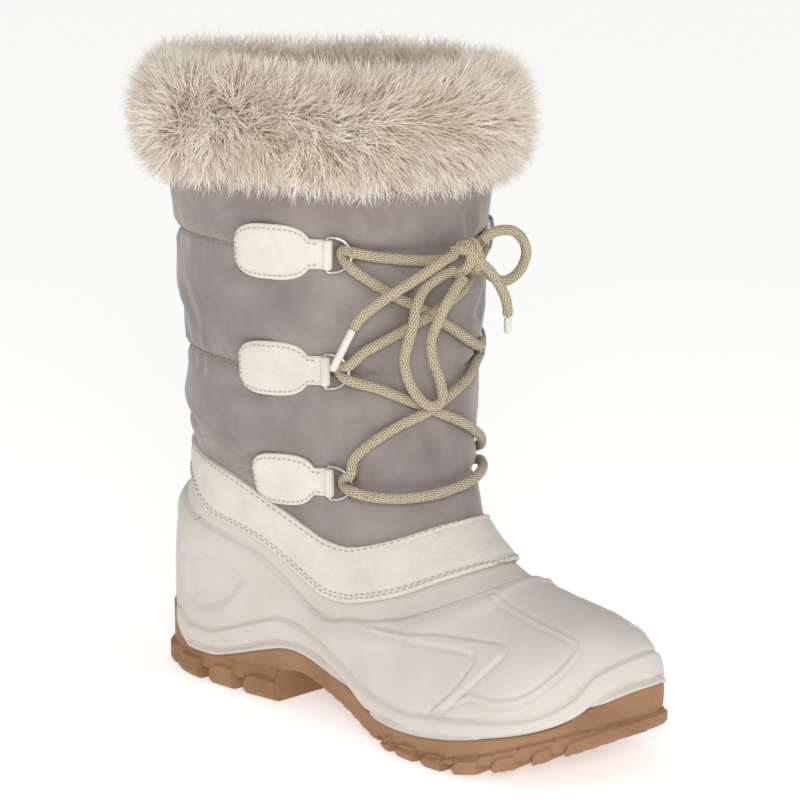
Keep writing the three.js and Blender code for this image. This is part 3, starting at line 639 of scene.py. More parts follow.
# Points at even steps on a smooth curve through the given ones.
def smoothPath(points, step, closed=False):
    points = np.asarray(points, float)
    if closed:
        padded = np.vstack([points[-1], points, points[0], points[1]])
    else:
        padded = np.vstack([2 * points[0] - points[1], points, 2 * points[-1] - points[-2]])
    pieces = []
    t = np.linspace(0, 1, 25)[:-1, None]
    for a, b, c, d in zip(padded, padded[1:], padded[2:], padded[3:]):
        curve = 2 * b + (c - a) * t + (2 * a - 5 * b + 4 * c - d) * t ** 2 + (3 * b - a - 3 * c + d) * t ** 3
        pieces.append(curve / 2)
    dense = np.vstack(pieces + [points[:1] if closed else points[-1:]])
    run = np.concatenate([[0], np.cumsum(np.linalg.norm(np.diff(dense, axis=0), axis=1))])
    count = max(3, int(round(run[-1] / step)) + 1)
    at = np.linspace(0, run[-1], count)
    path = np.stack([np.interp(at, run, dense[:, i]) for i in range(3)], 1)
    return path[:-1] if closed else path


# Rings of a tube, turned as little as possible along the path.
def tubeGrid(path, thick, sides, closed=False, swell=None):
    ahead = np.roll(path, -1, 0) - np.roll(path, 1, 0)
    if not closed:
        ahead[0], ahead[-1] = path[1] - path[0], path[-1] - path[-2]
    ahead = unit(ahead)
    side = np.cross(ahead[0], [0.3, 0.2, 0.93])
    sides3 = []
    for direction in ahead:
        side = side - direction * (side @ direction)
        side = side / np.linalg.norm(side)
        sides3.append(side.copy())
    across = np.array(sides3)
    up = np.cross(ahead, across)
    turn = np.linspace(0, 2 * math.pi, sides, endpoint=False)
    radius = np.full(len(path), thick / 2) if swell is None else thick / 2 * swell
    ring = across[:, None] * np.cos(turn)[None, :, None] + up[:, None] * np.sin(turn)[None, :, None]
    return path[:, None] + ring * radius[:, None, None]


# A tube with its ends capped, and a UV of millimetres along and share around.
def addTube(name, paths, thick, sides, material, closed=False, taper=0.0):
    allPoints, allFaces, allUv = [], [], []
    start = 0
    for path in paths:
        swell = None
        if taper:
            run = np.minimum(np.arange(len(path)), np.arange(len(path))[::-1]) / max(taper, 1)
            swell = np.sqrt(1 - (1 - clamp(run + 0.12)) ** 2)
        grid = tubeGrid(path, thick, sides, closed, swell)
        count = len(path)
        faces = gridFaces(count, sides, wrapRows=closed, wrapColumns=True, start=start)
        points = grid.reshape(-1, 3)
        run = np.concatenate([[0], np.cumsum(np.linalg.norm(np.diff(path, axis=0), axis=1))])
        around = np.tile(np.abs(np.linspace(-1, 1, sides, endpoint=False)), count)
        uv = np.stack([np.repeat(run, sides), around], 1)
        if not closed:
            first, last = start + len(points), start + len(points) + 1
            points = np.vstack([points, path[:1], path[-1:]])
            uv = np.vstack([uv, [[0, 0.5]], [[run[-1], 0.5]]])
            j = np.arange(sides)
            k = (j + 1) % sides
            front = np.stack([np.full(sides, first), start + k, start + j], 1)
            end = start + (count - 1) * sides
            back = np.stack([np.full(sides, last), end + j, end + k], 1)
            faces = np.vstack([faces, front, back])
        start += len(points)
        allPoints.append(points)
        allFaces.append(faces)
        allUv.append(uv)
    points, faces, uv = np.vstack(allPoints), np.vstack(allFaces), np.vstack(allUv)
    normals = np.cross(points[faces[0, 1]] - points[faces[0, 0]], points[faces[0, 2]] - points[faces[0, 0]])
    if normals @ (points[faces[0]].mean(0) - paths[0][0]) < 0:
        faces = faces[:, ::-1]
    return addPiece(name, points, faces, material, uv, sharp=60)


# Where the run dips behind a ring's bow: two points between the bow and the bar.
def ringTuck(row, side):
    at, across, out, up = legFrame(side * row["fold"], row["ringZ"])
    middle = at + out * (row["lift"] + fold["out"])
    spot = middle - across * side * (dRing["lead"] + dRing["long"] - 4.2) - out * 1.6
    return [tuple(spot - up * 1.9), tuple(spot + up * 1.9)]


# The run is drawn tight, so it sinks a little into the padding, most on the inner side.
def pressed(point):
    axis = np.array([boot["legAxisX"], 0, point[2]])
    out = unit(np.array(point) - axis)
    return tuple(np.array(point) - out * float(1.4 + 2.8 * ease((point[1] + 5) / 34)))


def laceRoute():
    run = laceRuns
    tuck = {(row["name"], side): ringTuck(row, side) for row in tabRows for side in (-1, 1)}
    route = run["barTopLateral"][::-1] + tuck["top", -1][::-1] + run["upperToLateral"]
    route += tuck["middle", 1][::-1] + run["lowerToMedial"][::-1] + tuck["bottom", -1][::-1]
    route += run["barBottom"] + tuck["bottom", 1] + run["lowerToLateral"][::-1]
    route += tuck["middle", -1] + run["upperToMedial"] + tuck["top", 1] + run["barTopMedial"]
    return smoothPath([pressed(point) for point in route], lace["step"])


def makeLaces():
    crossed = addTube("laceRun", [lacePath], lace["thick"], lace["sides"], braid)
    settle(crossed, "lace_cord", "lace_bar_bottom", "lace_crossing_lower", "lace_crossing_upper",
           "lace_bar_top_lateral", "lace_bar_top_medial")
    wraps = [smoothPath(points, lace["step"]) for points in knotWraps]
    knot = addTube("laceKnot", wraps, lace["thick"], lace["sides"], braid)
    settle(knot, "lace_cord", "lace_knot")
    for name, points in agletPaths.items():
        piece = addTube(name, [smoothPath(points, 0.5)], lace["agletThick"], 16, agletLook, taper=3)
        side = "lateral" if name == "agletLateral" else "medial"
        settle(piece, "aglet_plastic", "aglet_" + side)
    nodes = {
        "laceLoopMedial": "lace_loop_medial",
        "laceLoopHanging": "lace_loop_hanging",
        "laceEndLateral": "lace_end_lateral",
        "laceEndMedial": "lace_end_medial",
    }
    for name, points in laceCords.items():
        path = smoothPath(points, lace["step"])
        cord = addTube(name, [path], lace["thick"], lace["sides"], braid)
        settle(cord, "lace_cord", nodes[name])
        placed = toFrame(path)
        if name.startswith("laceEnd"):
            side = "lateral" if name == "laceEndLateral" else "medial"
        tuple(placed[0])
        [tuple(point) for point in placed]


# Upper. Grids follow the last's sections between side view lines, and are then given their relief.
upper = {
    "shellStep": 1.2,
    "shellColumns": 84,
    "shellWall": 3.2,
    "shaftStep": 1.75,
    "shaftColumns": 118,
    "shaftWall": 7.0,
    "shaftTop": 290.0,
    "bandStep": 1.25,
    "bandColumns": 34,
    "bandProud": 1.9,
    "overlap": 6.0,
}


def firstBelow(values, shares):
    under = values < 0
    index = under.argmax(1)
    row = np.arange(len(values))
    before = np.maximum(index - 1, 0)
    high, low = values[row, before], values[row, index]
    part = np.where(index > 0, high / np.where(high == low, 1, high - low), 0)
    at = shares[before] + part * (shares[index] - shares[before])
    return np.where(under.any(1), np.where(index > 0, at, 0), 1.0)


def shareRange(stations, highLine, lowLine):
    shares = np.linspace(0, 1, 501)
    s, t = np.meshgrid(stations, shares, indexing="ij")
    flat = lastPoint(s, t, -1)
    x, z = flat[..., 0], flat[..., 2]
    start = firstBelow(z - highLine(x), shares)
    end = firstBelow(z - lowLine(x), shares) if lowLine else np.ones(len(stations))
    return start, end


# The least of a row's neighbours, then their mean, so that an edge moves evenly from row to row.
def settled(values, reach):
    spread = np.pad(values, reach, mode="edge")
    window = np.lib.stride_tricks.sliding_window_view(spread, 2 * reach + 1)
    least = np.pad(window.min(1), reach, mode="edge")
    return np.lib.stride_tricks.sliding_window_view(least, 2 * reach + 1).mean(1)


# Both sides of a strip of the last between two lines, rows and columns near the given steps.
# Where the upper edge is hidden, evenRows lets it drift by so many rows.
def lastStrip(highLine, lowLine, step, columns, evenRows=0):
    stations = np.linspace(0, len(sections) - 1, 2401)
    start, end = shareRange(stations, highLine, lowLine)
    valid = np.flatnonzero(end - start > 0.004)
    s, start, end = stations[valid], start[valid], end[valid]
    other = np.full_like(end, 0.35) if evenRows else start
    moves = [np.linalg.norm(np.diff(lastPoint(s, share, -1), axis=0), axis=1) for share in (other, end)]
    run = np.concatenate([[0], np.cumsum(np.maximum(*moves))])
    count = int(round(run[-1] / step)) + 1
    picked = np.interp(np.linspace(0, run[-1], count), run, s)
    start, end = shareRange(picked, highLine, lowLine)
    turn = (1 - np.cos(np.linspace(0, math.pi, 241))) / 2
    first = np.zeros_like(start) if evenRows else start
    share = first[:, None] + (end - first)[:, None] * turn
    sides = []
    for side in (-1, 1):
        fine = lastPoint(np.repeat(picked[:, None], 241, 1), share, side)
        steps = np.linalg.norm(np.diff(fine, axis=1), axis=2)
        along = np.concatenate([np.zeros((count, 1)), np.cumsum(steps, 1)], 1)
        cut = np.zeros(count)
        if evenRows:
            cut = np.array([np.interp(start[i], share[i], along[i]) for i in range(count)])
            cut = settled(cut, evenRows)
        grid = np.empty((count, columns + 1, 3))
        for i in range(count):
            at = np.linspace(cut[i], along[i, -1], columns + 1)
            for axis in range(3):
                grid[i, :, axis] = np.interp(at, along[i], fine[i, :, axis])
        sides.append(grid)
    width = columns + 1
    left, right = sides
    points = np.concatenate([left.reshape(-1, 3), right.reshape(-1, 3)])
    faces = gridFaces(count, width)
    faces = np.concatenate([faces, faces[:, ::-1] + count * width])
    closed = np.flatnonzero(end > 0.9995)
    rows = closed[:-1][np.diff(closed) == 1]
    a, b = rows * width + columns, (rows + 1) * width + columns
    c, d = a + count * width, b + count * width
    faces = np.concatenate([faces, np.stack([a, c, b], 1), np.stack([b, c, d], 1)])
    return outward(*weld(points, faces))


def outward(points, faces):
    normals = vertexNormals(points, faces)
    middle = np.array([120.0, 0, 60.0])
    if (normals * (points - middle)).sum(1).mean() < 0:
        return points, faces[:, ::-1]
    return points, faces


# One closed wall from an outer skin and a coarser inner one, joined round their edges.
def closedWall(name, outer, inner, material, uv=None, sharp=50):
    points = np.concatenate([outer[0], inner[0]])
    faces = np.concatenate([outer[1], inner[1][:, ::-1] + len(outer[0])])
    piece = addPiece(name, points, faces, material, uv, sharp=None)
    wall = bmesh.new()
    wall.from_mesh(piece.data)
    wall.verts.ensure_lookup_table()
    split = len(outer[0])
    loops = []
    seen = set()
    for edge in wall.edges:
        if edge.is_boundary and edge not in seen:
            stack, loop = [edge], []
            seen.add(edge)
            while stack:
                one = stack.pop()
                loop.append(one)
                for vert in one.verts:
                    for other in vert.link_edges:
                        if other.is_boundary and other not in seen:
                            seen.add(other)
                            stack.append(other)
            loops.append(loop)
    outerLoops = [loop for loop in loops if loop[0].verts[0].index < split]
    innerLoops = [loop for loop in loops if loop[0].verts[0].index >= split]
    centre = lambda loop: sum((edge.verts[0].co for edge in loop), Vector()) / len(loop)
    print(name, "edges", len(outerLoops), len(innerLoops))
    for loop in sorted(outerLoops, key=len, reverse=True)[:len(innerLoops)]:
        mate = min(innerLoops, key=lambda other: (centre(other) - centre(loop)).length)
        innerLoops.remove(mate)
        bmesh.ops.bridge_loops(wall, edges=loop + mate)
    bmesh.ops.triangulate(wall, faces=[face for face in wall.faces if len(face.verts) > 3])
    bmesh.ops.recalc_face_normals(wall, faces=wall.faces)
    wall.to_mesh(piece.data)
    wall.free()
    piece.data.polygons.foreach_set("use_smooth", [True] * len(piece.data.polygons))
    piece.data.set_sharp_from_angle(angle=math.radians(sharp))
    return piece


# Signed distance along the surface to a side view line, positive above it.
def lineDistance(points, normals, line):
    x = points[:, 0]
    slope = line(x + 0.5) - line(x - 0.5)
    pull = np.stack([-slope, np.zeros_like(slope), np.ones_like(slope)], 1)
    along = pull - (pull * normals).sum(1)[:, None] * normals
    return (points[:, 2] - line(x)) / np.maximum(np.linalg.norm(along, axis=1), 0.3)


def pathDistance(points, path):
    best = np.full(len(points), 1e9)
    near = np.flatnonzero(((points > path.min(0) - 30) & (points < path.max(0) + 30)).all(1))
    close = points[near]
    found = np.full(len(near), 1e9)
    for a, b in zip(path[:-1], path[1:]):
        along = b - a
        share = clamp((close - a) @ along / (along @ along))
        found = np.minimum(found, np.linalg.norm(close - a - share[:, None] * along, axis=1))
    best[near] = found
    return best


def insideSideView(points, outline):
    x, z = points[:, 0], points[:, 2]
    inside = np.zeros(len(points), bool)
    for (ax, az), (bx, bz) in zip(outline, outline[1:] + outline[:1]):
        crosses = (az > z) != (bz > z)
        at = ax + (z - az) / (bz - az if bz != az else 1) * (bx - ax)
        inside ^= crosses & (x < at)
    return inside


def padAt(points):
    x, z = points[:, 0], points[:, 2]
    low = np.select([z < level for level in seamLevels[1:]], seamLevels[:-1], seamLevels[-2])
    high = np.select([z < level for level in seamLevels[1:]], seamLevels[1:], seamLevels[-1])
    swell = np.sqrt(np.abs(np.sin(np.pi * (z - low) / (high - low))))
    cover = ease((z - bandUpper(x) - padding["clear"]) / padding["run"])
    inside = (z > seamLevels[0]) & (z < seamLevels[-1])
    return np.where(inside, (swell * (padding["proud"] + padding["sunk"]) - padding["sunk"]) * cover, 0)


# The bare last as a ray target.
def lastTree():
    points, faces = lastStrip(lambda x: np.full_like(x, 316.0), lambda x: np.full_like(x, 2.0), 4, 40)
    return BVHTree.FromPolygons(points.tolist(), faces.tolist()), (points, faces)


lastBvh, lastSkin = lastTree()
print("last ready")


def snapLine(pairs, side, step=1.5):
    flat = smoothPath([(x, 0, z) for x, z in pairs], step)
    found = []
    for x, _, z in flat:
        hit = lastBvh.ray_cast(Vector((x, side * 150, z)), Vector((0, -side, 0)))[0]
        if hit is not None:
            found.append(tuple(hit))
    return np.array(found)


shellLines = {  # side view lines of the moulded foot, x and z
    "collar": [
        (2, 98), (20, 90), (35, 84), (54, 79.6), (71, 75.8), (83, 72), (96, 63.7), (109, 55.3), (119, 50.5),
        (129, 49.4), (140, 52.2), (159, 56.2), (181, 62.7), (200, 72), (212, 79), (217, 82),
    ],
    "rand": [
        (18.5, 31.5), (32, 26), (47, 26.5), (62, 31), (80, 37.7), (95, 41.8), (103.5, 41.6), (119, 37.6),
        (134, 31), (150, 25), (170, 21.7), (188, 21.5), (211, 24), (236, 27), (254, 30), (267, 39),
        (271.5, 49), (278, 55.6),
    ],
    "bead": [
        (35, 18), (52, 18.4), (71, 23.7), (96, 31.4), (109, 32.2), (119, 30.7), (131, 26.7), (147, 19.7),
        (162, 14.4), (169, 15), (197, 14.8), (218, 17.9), (236, 20), (254, 23.9), (268, 30.3), (275, 40.5),
        (279, 44),
    ],
    "heelTop": [(23, 65), (43, 64), (58, 62), (71, 59)],
    "heelLow": [(25.5, 58), (32, 39), (40, 37), (57, 42.5), (71, 57)],
}
chevron = {
    "outer": [
        (146, 52.2), (155, 53.1), (165, 54), (184, 55), (203, 58), (224.5, 59), (231, 59), (235, 57),
        (234, 53), (227, 43), (219, 33),
        (211, 27),
    ],
    "inner": [
        (207, 25.5), (218.4, 37.4), (224.4, 48.6), (223.4, 53.4), (218, 54.6), (201, 54), (179.5, 53),
        (156, 52.4), (146, 52.2),
    ],
    "proud": 0.9,
    "soft": 1.6,
}
toeRidge = [  # x, y, z on the outer side
    (214, -21, 79), (226, -21, 75), (239.5, -21, 71), (253, -19, 67), (260, -17, 64), (262, -17, 61),
    (263, -20, 58), (262, -26, 53), (259, -31, 48), (254, -37, 42), (248.5, -42, 38.5), (242, -47, 37),
    (234.5, -49, 37), (228, -51, 38), (221, -53, 34),
]


def shellRelief(points, normals):
    x, y = points.T[:2]
    lift = np.zeros(len(points))
    collar = lineDistance(points, normals, lineOf(shellLines["collar"]))
    span = between(x, -5, 219, 10)
    lift += span * (-1.3 * ease(collar / 2.0 + 0.5) - 1.1 * bump(collar - 0.4, 0.9))
    lift += span * 1.3 * bump(collar + 7, 6)  # the body swells out below its collar
    rand = lineDistance(points, normals, lineOf(shellLines["rand"]))
    span = between(x, 16, 300, 4)
    lift += span * (1.1 * (1 - ease(rand / 1.8 + 0.5)) - 0.95 * bump(rand - 1.1, 0.85))
    bead = lineDistance(points, normals, lineOf(shellLines["bead"]))
    span = between(x, 30, 300, 4)
    notch = 1 - bump(x - 165.5, 3)
    lift += span * (-1.6 * bump(bead, 0.9) + 1.0 * bump(bead + 2.4, 1.4) * notch)
    for side in (-1, 1):
        here = (y - middleAt(x)) * side > 0
        outline = chevron["outer"] + chevron["inner"]
        edges = [snapLine(chevron["outer"], side), snapLine(chevron["inner"], side)]
        away = np.minimum(pathDistance(points, edges[0]), pathDistance(points, edges[1]))
        signed = np.where(insideSideView(points, outline), away, -away)
        fade = ease((x - 148) / 22)
        lift += np.where(here, fade * chevron["proud"] * ease(signed / chevron["soft"] + 0.5), 0)
        lift += np.where(here, -0.75 * fade * bump(signed + 1.1, 0.85), 0)
        ridge = smoothPath([(px, py * -side, pz) for px, py, pz in toeRidge], 2)
        ridge = snapTo(ridge)
        away = pathDistance(points, ridge)
        lift += 0.55 * bump(away, 0.9) - 0.6 * bump(away - 1.8, 0.8)
        heelTop = lineDistance(points, normals, lineOf(shellLines["heelTop"]))
        heelLow = lineDistance(points, normals, lineOf(shellLines["heelLow"]))
        hollow = ease(-heelTop / 5 + 0.5) * ease(heelLow / 5 + 0.5) * between(x, 24, 72, 12)
        lift += np.where(here, -1.7 * hollow, 0)
    edge = lineDistance(points, normals, rimTop)
    lift -= 0.5 * bump(edge - 0.3, 0.7)
    return lift


def snapTo(path):
    found = []
    for point in path:
        found.append(tuple(lastBvh.find_nearest(Vector(point))[0]))
    return np.array(found)


def grown(skin, by):
    points, faces = skin
    normals = vertexNormals(points, faces)
    lift = by(points, normals) if callable(by) else by
    lift = np.asarray(lift)
    return points + normals * (lift[:, None] if lift.ndim else lift), faces


def raised(line, by):
    return lambda x: line(x) + by * np.hypot(1, (line(x + 2) - line(x - 2)) / 4)


def makeShell():
    high = lambda x: bandLower(x) + upper["overlap"]
    low = raised(rimTop, 0.3)
    outer = grown(lastStrip(high, low, upper["shellStep"], upper["shellColumns"], 9), shellRelief)
    inside = lastStrip(high, low, upper["shellStep"] * 3, upper["shellColumns"] // 3, 3)
    inner = grown(inside, -upper["shellWall"])
    shell = closedWall("mouldedShell", outer, inner, moulding, sharp=75)
    settle(shell, "foot_moulding", "upper_shell")
    return shell


# Creases of the shaft: plan angle from the front, height, then depth, width and bow of each.
shaftCreases = [
    (-62, 215, -96, 221, -1.1, 4, 2), (-60, 238, -92, 233, -1.0, 4, -2), (-100, 222, -140, 216, -0.8, 6, -2),
    (-64, 158, -98, 163, -1.2, 4, 2), (-62, 183, -95, 177, -1.0, 4, -2), (-104, 164, -150, 158, -0.9, 6, -2),
    (-66, 128, -100, 123, -1.0, 4, 1), (-170, 140, -118, 127, -1.5, 5, 3), (-160, 190, -120, 183, -0.8, 7, 2),
    (-34, 252, -28, 233, -1.4, 3.5, 1), (-22, 205, -14, 188, -0.9, 4, 1), (-12, 152, -6, 128, -1.2, 4, 0),
    (-40, 150, -24, 138, -1.1, 4, 1), (-44, 206, -30, 196, -1.0, 4, -1), (8, 246, 14, 228, -1.0, 4, -1),
    (62, 214, 97, 220, -1.1, 4, 2), (60, 237, 90, 232, -0.9, 4, -2), (64, 157, 99, 162, -1.1, 4, 2),
    (61, 184, 96, 178, -1.0, 4, -2), (104, 163, 152, 157, -0.9, 6, -2), (66, 129, 98, 124, -0.9, 4, 1),
    (168, 139, 120, 128, -1.3, 5, 3), (158, 192, 122, 185, -0.8, 7, 2), (40, 150, 26, 139, -1.0, 4, 1),
    (-128, 205, -112, 178, -0.7, 6, 4), (130, 204, 114, 180, -0.6, 6, 4), (30, 205, 16, 190, -0.9, 4, 1),
]


def shaftRelief(points, normals):
    x, y, z = points.T
    angle = np.degrees(np.arctan2(y, x - boot["legAxisX"]))
    arc = np.radians(angle) * boot["legRadius"]
    front = bump(angle, 30)
    pad = padAt(points)
    lift = pad * (1 - 0.45 * front) + 0.4 * front
    cover = ease((z - bandUpper(x) - 3) / 14)
    for level in seamLevels[1:4]:
        away = z - level + 0.7 * np.sin(arc / 17 + level)
        seen = 1 - 0.6 * front
        lift -= cover * seen * (1.5 * bump(away, 1.5) + 0.5 * bump(np.abs(away) - 2.8, 0.8))
        pucker = np.sin(arc / 2.1 + 2.2 * np.sin(arc / 9.3 + level)) * np.sin(arc / 7.7 + level * 0.3)
        lift += cover * seen * 0.75 * pucker * bump(np.abs(away) - 5, 4.5)
    for start, low, end, high, depth, width, bow in shaftCreases:
        a = np.array([math.radians(start) * boot["legRadius"], low])
        b = np.array([math.radians(end) * boot["legRadius"], high])
        along = b - a
        size = np.linalg.norm(along)
        along = along / size
        offset = np.stack([arc, z], 1) - a
        run = offset @ along / size
        off = offset @ np.array([-along[1], along[0]]) - bow * np.sin(np.pi * clamp(run))
        ends = ease(run / 0.3) * ease((1 - run) / 0.3)
        deep = 1.7 * depth * ends
        lift += deep * bump(off, width) - 0.35 * deep * bump(np.abs(off) - 1.7 * width, width)
    lift += 0.35 * np.sin(arc / 23 + 1.3) * np.sin(z / 19 + 0.4)
    away = pathDistance(points, lacePath[::4])
    lift -= 1.7 * bump(np.maximum(away - 2.2, 0), 2.6)  # the lace presses into the padding
    return lift


def makeShaft():
    joint = lambda x: bandUpper(x) - upper["overlap"]
    top = lambda x: np.full_like(x, upper["shaftTop"])
    outer = grown(lastStrip(top, joint, upper["shaftStep"], upper["shaftColumns"]), shaftRelief)
    inside = lastStrip(top, joint, upper["shaftStep"] * 3, upper["shaftColumns"] // 3)
    inner = grown(inside, -upper["shaftWall"])
    points = np.concatenate([outer[0], inner[0]])
    angle = np.arctan2(points[:, 1], points[:, 0] - boot["legAxisX"])
    uv = np.stack([angle * boot["legRadius"], points[:, 2]], 1) / 1000
    shaft = closedWall("quiltedShaft", outer, inner, nylon, uv)
    settle(shaft, "shaft_textile", "upper_shaft")
    return shaft


def bandRelief(points, normals):
    x, z = points[:, 0], points[:, 2]
    top = lineDistance(points, normals, bandUpper)
    low = lineDistance(points, normals, bandLower)
    inset = np.minimum(-top, low)
    lift = upper["bandProud"] + padAt(points) + 0.5 * ease(inset / 9)
    lift -= 0.45 * (1 - ease(inset / 0.9)) + 0.3 * bump(low - 3.5, 1.6) + 0.3 * bump(top + 2.2, 1.0)
    fray = np.sin(x * 2.9 + 1.7 * np.sin(x * 0.83)) * np.sin(x * 1.13 + 0.6)
    lift += 0.3 * fray * bump(inset, 0.8)
    angle = np.degrees(np.arctan2(points[:, 1], x - boot["legAxisX"]))
    lift += 0.5 * bump(np.abs(angle) - 36, 12) * np.sin(z / 4.5) + 0.25 * np.sin(x / 9.0) * np.sin(z / 8)
    return lift


def makeBand():
    outer = grown(lastStrip(bandUpper, bandLower, upper["bandStep"], upper["bandColumns"]), bandRelief)
    under = lambda points, normals: padAt(points) + 0.05
    inner = grown(lastStrip(bandUpper, bandLower, upper["bandStep"] * 2, upper["bandColumns"] // 3), under)
    band = closedWall("ankleBand", outer, inner, bandSkin)
    settle(band, "band_leather", "ankle_band")
    return band



# Outsole: one ring round the boot per row, from the tread's middle up the wall and down to the footbed.
outsole = {
    "rows": 560,
    "across": 9,
    "levels": 30,
    "heelEnd": 96,
    "foreStart": 174,
    "smoothStart": 233,  # the toe's plain edge begins here
    "heelLugTall": 11.2,
    "foreLugTall": 7.6,
    "shoulderDrop": 4.6,
    "shoulderLong": 5.2,
    "lugProud": 2.3,
    "foreLugProud": 2.1,
    "stripProud": 0.8,
    "gapSoft": 0.6,
    "toothPitch": 3.4,
    "ribPitch": 7.5,
}
lugGaps = [  # where a gap meets the outer edge, its width and depth, and its turn in degrees
    (22, 6.2, 6.6, 12), (46, 7.4, 6.9, 8), (69.5, 7.6, 7.2, 4), (174.5, 4.2, 4.4, -10), (186, 5.4, 4.6, -10),
    (203, 6, 4.6, -8), (220, 6, 4.6, -4), (237, 5.6, 4.2, 4), (253, 5, 3.8, 10), (267, 4.4, 3.4, 16),
]
partingLine = lineOf([(160, 3.5), (170, 4.2), (209, 5.6), (230, 10), (253, 18), (269, 24), (279, 27)])


def gapAt(x, y, soft):
    depth = np.zeros_like(x)
    for at, width, deep, turn in lugGaps:
        along = x + math.tan(math.radians(turn)) * (y + 45)
        depth = np.maximum(depth, deep * between(along, at - width / 2, at + width / 2, soft))
    return depth


# How far a place is from the back edge of its lug, where the lug's shoulder is rounded.
def shoulderAt(x, y):
    near = np.full_like(x, 99.0)
    for at, width, _, turn in lugGaps:
        along = x + math.tan(math.radians(turn)) * (y + 45) - (at + width / 2)
        near = np.where(along > -1, np.minimum(near, np.maximum(along, 0)), near)
    return near


def soleOffset(x, z, y):
    high = z - springAt(x)
    base = np.interp(high, [0, 3.5, 40], [-2.5, 0.2, 0.9])
    gaps = gapAt(x, y, outsole["gapSoft"])
    heel = 1 - ease((x - outsole["heelEnd"]) / 3)
    fore = ease((x - outsole["foreStart"]) / 3)
    lugs = 1 - clamp(gaps / 2.6)
    shoulder = clamp(1 - shoulderAt(x, y) / outsole["shoulderLong"]) ** 2
    top = outsole["heelLugTall"] * heel + outsole["foreLugTall"] * fore - outsole["shoulderDrop"] * shoulder
    proud = heel * outsole["lugProud"] + fore * outsole["foreLugProud"]
    lug = lugs * ease((top - high) / 0.9 + 0.5) * proud
    smooth = ease((x - outsole["smoothStart"]) / 6)
    lug *= 1 - 0.35 * smooth
    away = z - partingLine(x)
    strip = outsole["stripProud"] * ease(-away / 0.8 + 0.5) - 0.6 * bump(away - 0.5, 0.6)
    strip *= ease((x - 172) / 8)
    teeth = smooth * 0.55 * ease(np.sin(x * 2 * np.pi / outsole["toothPitch"]) * 2 + 0.5)
    teeth = teeth * bump(high - 1.5, 2.2)
    ribs = between(x, 118, 172, 5) * 0.7 * ease(np.sin(x * 2 * np.pi / outsole["ribPitch"]) * 3 + 0.5)
    ribs = ribs * bump(z - archLine(x) - 2, 2.2)
    heelGroove = -0.7 * heel * bump(z - 14.2 - 0.06 * (x - 50), 0.6)
    rim = -0.7 * ease((z - rimTop(x) + 1.0) / 0.9)
    tongue = -0.9 * ease((z - 32) / 1.5) * (1 - ease((x - 14) / 4))
    return base + lug + strip + teeth + ribs + heelGroove * ease((rimTop(x) - z - 1) / 2) + rim + tongue


def makeOutsole():
    turn = (1 - np.cos(np.linspace(0, math.pi, outsole["rows"]))) / 2
    x = boot["heelTip"] + turn * (boot["toeTip"] - boot["heelTip"])
    middle = middleAt(x)
    zero = np.zeros_like(x)
    halves = []
    for side in (-1, 1):
        edge = np.stack([x, middle + side * halfWidth(x, zero, side)], 1)
        along = unit(np.gradient(edge, axis=0))
        out = np.stack([-along[:, 1], along[:, 0]], 1) * side
        out[0], out[-1] = (-1, 0), (1, 0)
        spring = np.maximum(springAt(x), archLine(x))
        spine = np.stack([x, middle], 1)
        columns = []
        floorEdge = edge + out * -2.3
        for share in np.linspace(0, 1, outsole["across"]):
            flat = spine + (floorEdge - spine) * share
            gap = gapAt(flat[:, 0], flat[:, 1], 1.2)
            columns.append(np.column_stack([flat, spring + gap]))
        bottom = columns[-1][:, 2]
        rim = rimTop(x)
        for share in np.linspace(0, 1, outsole["levels"] + 1)[1:]:
            z = bottom + (rim - bottom) * share
            off = soleOffset(x, z, edge[:, 1])
            columns.append(np.column_stack([edge + out * off[:, None], z]))
        inset = -3.5 - 7 * ease((x - 258) / 16)
        bed = footbedTop(x)
        for share, drop in [(-1.2, 0), (0.4, 0), (1, 0), (1, 0.5), (1, 1)]:
            off = inset * max(share, 0) + (share < 0) * -0.6
            off = np.minimum(off, 0.6)
            z = rim + (bed - rim) * drop
            columns.append(np.column_stack([edge + out * off[:, None], z]))
        inner = columns[-1]
        for share in (0.5, 0.0):
            columns.append(np.column_stack([spine + (inner[:, :2] - spine) * share, inner[:, 2]]))
        halves.append(np.stack(columns, 1))
    rows, columns = halves[0].shape[:2]
    faces = gridFaces(rows, columns)
    points = np.concatenate([half.reshape(-1, 3) for half in halves])
    faces = np.concatenate([faces, faces[:, ::-1] + rows * columns])
    points, faces = weld(points, faces)
    normals = vertexNormals(points, faces)
    low = points[:, 2] < 1
    if normals[low, 2].mean() > 0:
        faces = faces[:, ::-1]
    sole = addPiece("outsole_tread", points, faces, gum, sharp=38)
    settle(sole, "gum_rubber", "outsole")


